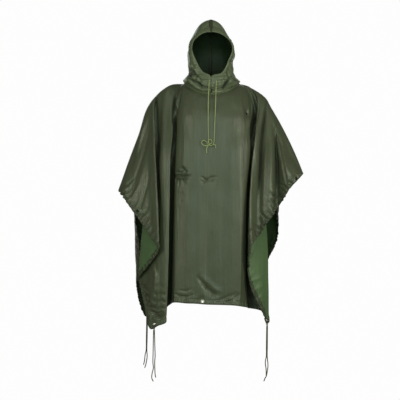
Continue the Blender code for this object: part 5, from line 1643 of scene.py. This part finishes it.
def atNeck(turn, below, above):
    # points and outward directions a little below the neck seam on the sheet, or above it on the hood
    points, out = np.zeros((len(turn), 3)), np.zeros((len(turn), 3))
    for sheet, here in ((frontSheet, np.abs(turn) <= 1), (backSheet, np.abs(turn) > 1)):
        seat = turn[here] if sheet is frontSheet else np.sign(turn[here]) * (2 - np.abs(turn[here]))
        across = np.interp(seat, sheet.seats, sheet.knots)
        points[here], out[here] = sheet.finished(across, below / sheet.length(across))
    if above > 0:
        for hood in (hoodLeft, hoodRight):
            here = turn * hood.hand > 0
            across = np.interp(np.abs(turn[here]), hood.turns, hood.knots)
            points[here], out[here] = hood.finished(across, np.full_like(across, above / hoodSet["tall"]))
    return points, out


def sewNeckSeam():
    turn = np.linspace(-2, 2, seamSet["neckStops"] + 1)[:-1] + 0.005
    rings = []
    for below, above, height in seamSet["neckSection"]:
        points, out = atNeck(turn, below, above)
        rings.append(points + out * height * mm)
    loops = np.stack(rings, axis=1)
    made = loftLoops("neckSeam", np.concatenate([loops, loops[:1]]), paintedHighlightSeamFinish)
    turn = np.linspace(-2, 2, round(seamSet["neckLength"] / seamSet["pitch"])) + 0.003
    places = []
    for below, above, height in seamSet["neckStitches"]:
        places += stitchPlaces(*atNeck(turn, below, above), height * mm)
    return made, places


def evenStitches(line, out, along, margin=0.0, lift=0.0):
    marks = np.arange(margin, along[-1] - margin, seamSet["pitch"])
    return stitchPlaces(readAlong(marks, along, line), unit(readAlong(marks, along, out)), lift)


def crownLine(inset):
    # the two lines beside the seam over the crown and down to the nape, at an inset from the middle
    lines = []
    stops, top = seamSet["crownStops"], 1 - inset / hoodSet["tall"]
    for hood in (hoodLeft, hoodRight):
        across = np.linspace(hood.seam, hood.knots[-1], stops)
        over = hood.finished(across, np.full(stops, top))
        slope = (hood.knots[-1] - hood.knots[-2]) / (hood.widths[-1] - hood.widths[-2])
        share = np.linspace(top, 0.004, stops)[1:]
        down = hood.finished(np.full(stops - 1, hood.knots[-1] - inset * slope), share)
        lines.append([np.concatenate(pair) for pair in zip(over, down)])
    return lines


def sewCrownSeam():
    (left, leftOut), (right, rightOut) = crownLine(seamSet["crownHalfWidth"])
    (nearLeft, nearLeftOut), (nearRight, nearRightOut) = crownLine(seamSet["crownInner"])
    (rim, rise, top), (under, deep) = seamSet["crownOver"], seamSet["crownUnder"]
    rings = [
        left + leftOut * rim, left * 0.96 + nearLeft * 0.04 + leftOut * rise, nearLeft + nearLeftOut * top,
        nearRight + nearRightOut * top, right * 0.96 + nearRight * 0.04 + rightOut * rise, right + rightOut * rim,
        right - rightOut * under, nearRight - nearRightOut * deep,
        nearLeft - nearLeftOut * deep, left - leftOut * under,
    ]
    made = loftLoops("crownSeam", np.stack(rings, axis=1), hemNylon)
    places = []
    for line, out in crownLine(seamSet["stitchInset"]):
        places += evenStitches(line, out, summed(gapsAlong(line)), lift=seamSet["stitchLift"])
    return made, places


def channelStitches():
    line = channelSeam * 0.94 + channelEdge * 0.06 + channelOut * 0.0011
    return evenStitches(line, channelOut, summed(gapsAlong(channelSeam)), margin=seamSet["channelMargin"])


neckSeam, neckThreads = sewNeckSeam()
crownSeam, crownThreads = sewCrownSeam()
hemStitching = stitchRow("hemStitching", threads)
hoodStitching = stitchRow("hoodStitching", neckThreads + crownThreads + channelStitches())
print("poncho: neck and crown seams are sewn")

# eyelets and snaps
# radius in mm, and height over the cloth's middle as a share of the eyelet's own half height
eyeletTurned = (
    (5.00, 0.62), (5.10, 0.86), (5.60, 0.99), (6.80, 1.00), (8.40, 0.94), (9.20, 0.82), (9.50, 0.66), (9.20, 0.52),
    (7.00, 0.48), (6.30, 0.40), (6.30, -0.40), (7.00, -0.48), (9.20, -0.52), (9.50, -0.66), (9.20, -0.82),
    (8.40, -0.94), (6.80, -1.00), (5.60, -0.99), (5.10, -0.86), (5.00, -0.62),
)
# radius and height over the cloth, in mm
snapTurned = (
    (0.0, 2.60), (1.2, 2.62), (1.9, 2.40), (2.4, 2.62), (3.6, 2.66), (4.9, 2.25), (5.8, 1.55), (6.3, 0.85),
    (6.5, 0.40), (6.4, 0.10), (5.6, 0.0), (0.0, 0.0),
)


def turnPiece(name, profile, centre, axis, finish, steps=40):
    # turns a profile of radius and height round an axis; the profile is a ring, or starts on the axis
    side = unit(np.cross(axis, (0.31, 0.2, 0.93)))
    other = np.cross(axis, side)
    loops = []
    for step in range(steps):
        spoke = side * math.cos(step * math.tau / steps) + other * math.sin(step * math.tau / steps)
        loops.append([centre + spoke * r + axis * h for r, h in profile])
    loops.append(loops[0])
    made = loftLoops(name, np.array(loops), finish, closeUp=profile[0][0] > 0)
    if profile[0][0] == 0:
        weld(made)
    return made


eyeletPieces, snapPieces = {}, {}
for half in sheets:
    for name, (_, axis) in zip(eyelets[half], holes[half]):
        points, middle, _ = ring(name)
        tall = np.abs((points - middle) @ axis).max()
        profile = [(r * mm, h * tall) for r, h in eyeletTurned]
        eyeletPieces[name] = turnPiece(name.replace("eyelet", "ring"), profile, middle, axis, eyeletMetal)
        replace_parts(eyeletPieces[name], name)
for name, (seat, axis) in snapSeats.items():
    profile = [(r * mm, h * mm) for r, h in snapTurned]
    snapPieces[name] = turnPiece(name.replace("snap", "pressStud"), profile, seat, axis, blackenedMetal)
    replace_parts(snapPieces[name], name)
print("poncho: six eyelets and four snaps are set")

# cords
cordSet = {
    "radius": 0.0020, "cornerRadius": 0.0024, "step": 0.0010, "sides": 12, "plaitEvery": 0.0064,
    "endShares": (0.35, 0.72, 0.92),
    "clearance": 0.0004, "hangFree": 0.0065, "depthStep": 14, "tuck": 0.0008,
    # the cloth is felt for this far beside and above a place, in mm
    "feelRound": (1.5, 5), "feelRoundBow": (4, 3),
    # how the hood's cord leaves the channel: its lean, then share of hangFree and drop
    "leanOut": (0, -2.0, -0.3), "leaving": ((0.45, 0.0006), (0.86, 0.0040), (1.0, 0.0110)),
    # turns, radius and half height of each knot
    "bowKnot": (2.6, 0.0024, 0.0026), "cornerKnot": (2.1, 0.0024, 0.0019),
    "bowAhead": 0.0042, "loopRadius": 0.0060, "loopStops": 25,
}
# routes seen from the front, x and z from the top down
hoodCordRoutes = {
    "hood_cord_left": (
        (-9, 16), (-10, -20), (-12, -60), (-13, -110), (-13, -160), (-13, -210), (-12, -252), (-11, -274),
    ),
    "hood_cord_right": (
        (24, 12), (23, -20), (22, -60), (20, -110), (18, -160), (16, -210), (14.4, -240), (13.6, -262), (12.6, -271),
        (10.2, -278.4), (5.8, -283.6), (0.2, -286), (-5.6, -285.2),
    ),
}
# pieces of the bow: x, z and how far in front of the knot's middle
bowRoutes = {
    "bow_loop_left": (
        (-15, -279, 0), (-20.6, -270.6, 3), (-27, -264.4, 5), (-33.6, -262.0, 6), (-39.6, -264.8, 6),
        (-43, -271.4, 6), (-41, -278.6, 5), (-34.4, -284.4, 4), (-25, -287, 2), (-15.4, -284.5, 0),
    ),
    "bow_loop_right": (
        (-8.2, -276.6, 2.6), (-13, -270, 6), (-12, -262, 8), (-5, -258, 8), (2, -261, 8), (4, -268, 7), (1, -275, 6),
        (-5.3, -278.1, 2.6),
    ),
    "bow_tail_left": ((-11.8, -285.5, 0.4), (-18, -293, 3), (-21, -304, 4), (-19, -321, 4)),
    "bow_tail_right": (
        (-7.5, -285.6, 0), (0, -286, 4), (8, -282.4, 7), (15.4, -281.6, 6.4), (20.6, -287, 5), (21, -297, 4),
    ),
}
# strands below each corner knot: x, z and depth beside the knot's middle
cornerRoutes = {
    "corner_cord_back_left_1": (
        (-1.6, -4.5, 0), (-2, -60, 0), (-3, -110, 1), (-4, -160, 1), (-9, -182, 0), (-11, -204, -1),
        (-16, -228, -1),
    ),
    "corner_cord_back_left_2": (
        (1.8, -4.5, 0), (1.6, -60, 1), (0.6, -110, 0), (-0.4, -160, -2), (1, -186, -3), (-1, -204, -3),
        (-6, -228, -2), (-11, -242, -1),
    ),
    "corner_cord_front_left_1": (
        (-1.8, -4.5, 0), (-3, -50, 0), (-4, -100, 1), (-5, -156, 1), (-3, -180, 0), (-9, -206, -1), (-10, -226, -1),
        (-3, -242, 0),
    ),
    "corner_cord_front_left_2": (
        (1.8, -4.5, 0), (3, -50, 0), (4, -88, 0), (5, -124, 1), (3, -156, 1), (4, -190, 0), (5, -208, 0),
        (8, -224, 0),
    ),
    "corner_cord_front_right_1": (
        (-1.6, -4.5, 0), (-2.4, -50, 0), (-3, -100, 1), (-3.4, -144, 1), (-8, -172, 0), (-5, -200, -1),
        (-4, -214, -1), (-4, -236, 0),
    ),
    "corner_cord_front_right_2": (
        (1.8, -4.5, 0), (1.6, -50, 0), (1.2, -100, 0), (0.6, -144, -2), (4, -186, -3), (1, -212, -4),
        (-4, -236, -4), (-10, -246, -3), (-15, -260, -2),
    ),
}


def treeOf(points, faces):
    return BVHTree.FromPolygons([tuple(p) for p in points], [tuple(int(i) for i in f) for f in faces])


def treeOfPiece(made):
    return BVHTree.FromObject(made, bpy.context.evaluated_depsgraph_get())


def withNeighbours(x, z, aside, up):
    # a place in mm with those beside it, above it and below it
    return [(x + dx, z + dz) for dx in (-aside, 0, aside) for dz in (-up, 0, up)]


def foremost(trees, x, z):
    # first cloth met from the front at x and z in mm
    found = []
    for tree in trees:
        hit, normal, _, distance = tree.ray_cast(Vector((x * mm, -1, z * mm)), Vector((0, 1, 0)))
        if hit is not None:
            found.append((distance, np.array(hit), np.array(normal)))
    return min(found, key=lambda row: row[0])[1:]


def smoothRoute(points, step):
    points = np.array(points, float)
    knots = summed(np.sqrt(gapsAlong(points)))
    fine = throughPoints(knots, points, np.linspace(0, knots[-1], 40 * len(points)))
    lengths = summed(gapsAlong(fine))
    marks = np.linspace(0, lengths[-1], max(3, round(lengths[-1] / step)) + 1)
    return readAlong(marks, lengths, fine)


def layCord(name, route, closed=False, ends=(True, True)):
    # a plaited cord along a route; free ends are rounded off
    path = smoothRoute(route, cordSet["step"])
    if closed:
        path[-1] = path[0]
    runs = np.gradient(path, axis=0)
    if closed:
        runs[0] = runs[-1] = path[1] - path[-2]
    runs = unit(runs)
    side = unit(np.cross(runs[0], (0.3, 0.9, 0.2)))
    count = len(path)
    corner = name.startswith("corner")
    radius = np.full(count, cordSet["cornerRadius" if corner else "radius"])
    for order, rounded in zip((radius, radius[::-1]), ends):
        if rounded and not closed:
            order[:len(cordSet["endShares"])] *= cordSet["endShares"]
    rings = []
    angles = np.arange(cordSet["sides"]) * math.tau / cordSet["sides"]
    along = np.linspace(0, count * cordSet["step"], count)
    for k in range(count):
        side = unit(side - runs[k] * (side @ runs[k]))
        beat = along[k] * math.tau / cordSet["plaitEvery"]
        lay = 0.95 + 0.05 * np.cos(3 * angles + beat) * np.cos(3 * angles - beat)
        spokes = np.outer(np.cos(angles), side) + np.outer(np.sin(angles), np.cross(runs[k], side))
        rings.append(path[k] + spokes * (radius[k] * lay)[:, None])
    made = loftLoops(name, np.array(rings), paintedShadeCornerCord if corner else drawCord)
    return made, path


def tieWraps(name, centre, axis, turns, radius, tall):
    # a knot: turns of cord wound round where the strands meet, and a strand tucked over them
    axis = unit(axis)
    side = unit(np.cross(axis, (0.2, 0.95, 0.1)))
    other = np.cross(axis, side)
    angle = np.linspace(0, turns * math.tau, round(turns * 14))
    rise = np.linspace(-tall, tall, len(angle))
    route = [centre + (side * math.cos(a) + other * math.sin(a)) * radius + axis * h for a, h in zip(angle, rise)]
    route += [
        centre + side * radius * 0.5 + axis * tall * 0.4,
        centre - side * radius * 0.8 - axis * tall * 0.2 + other * radius * 0.2,
    ]
    return layCord(name, route)


bpy.context.view_layer.update()
frontTree = treeOf(frontPoints, frontQuads)
trees = [frontTree] + [treeOfPiece(made) for made in (faceChannel, hoodHalfLeft, hoodHalfRight, neckSeam)]
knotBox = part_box("bow_knot")
knotMiddle = np.array([(knotBox[0][i] + knotBox[1][i]) / 2 for i in range(3)])
behindKnot = withNeighbours(knotMiddle[0] / mm, knotMiddle[2] / mm, *cordSet["feelRoundBow"])
knotMiddle[1] = min(foremost([frontTree], x, z)[0][1] for x, z in behindKnot) - cordSet["bowAhead"]
cordPieces, cordPaths = {}, {}
for name, route in hoodCordRoutes.items():
    hit, normal = foremost(trees, *route[0])
    heldOut = hit[1] - cordSet["hangFree"]
    seen = smoothRoute([(x, 0, z) for x, z in route[1:]], cordSet["depthStep"])
    depths = []
    for x, _, z in seen:
        cloth = min(foremost(trees, *place)[0][1] for place in withNeighbours(x, z, *cordSet["feelRound"]))
        depths.append(min(heldOut, cloth - cordSet["radius"] - cordSet["clearance"]))
    depths = [min(depths[max(0, k - 1):k + 2]) for k in range(len(depths))]
    depths[-1] = depths[-2] = min(depths[-1], knotMiddle[1])
    away = unit(normal + np.array(cordSet["leanOut"]))
    points = [hit - away * cordSet["tuck"]]
    for share, drop in cordSet["leaving"]:
        points.append(hit + away * share * cordSet["hangFree"] - np.array((0, 0, drop)))
    points += [np.array((x * mm, depth, z * mm)) for (x, _, z), depth in zip(seen, depths)]
    cordPieces[name], cordPaths[name] = layCord(name.replace("hood_cord", "drawCord"), points, ends=(False, False))
    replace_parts(cordPieces[name], name)
for name, route in bowRoutes.items():
    points = [np.array((x * mm, knotMiddle[1] - out * mm, z * mm)) for x, z, out in route]
    label = "bow" + "".join(word.title() for word in name.split("_")[1:])
    cordPieces[name], cordPaths[name] = layCord(label, points, ends=(False, "tail" in name))
    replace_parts(cordPieces[name], name)
bowKnot, _ = tieWraps("bowKnot", knotMiddle, (0.94, 0, 0.34), *cordSet["bowKnot"])
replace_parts(bowKnot, "bow_knot")
for corner in ("back_left", "front_left", "front_right"):
    _, middle, axis = ring("corner_loop_" + corner)
    _, knotSpot, _ = ring("corner_knot_" + corner)
    down = unit(knotSpot - middle)
    aside = np.cross(axis, down)
    circle = [
        middle + (down * math.cos(a) + aside * math.sin(a)) * cordSet["loopRadius"]
        for a in np.linspace(0, math.tau, cordSet["loopStops"])
    ]
    loop, _ = layCord("cornerLoop_" + corner, circle, closed=True)
    knot, _ = tieWraps("cornerKnot_" + corner, knotSpot, down, *cordSet["cornerKnot"])
    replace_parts(loop, "corner_loop_" + corner)
    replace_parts(knot, "corner_knot_" + corner)
    for number in (1, 2):
        name = f"corner_cord_{corner}_{number}"
        points = [knotSpot + np.array((x, depth, z)) * mm for x, z, depth in cornerRoutes[name]]
        cordPieces[name], cordPaths[name] = layCord(f"cornerCord_{corner}_{number}", points, ends=(False, True))
        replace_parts(cordPieces[name], name)
print("poncho: cords are laid and tied")
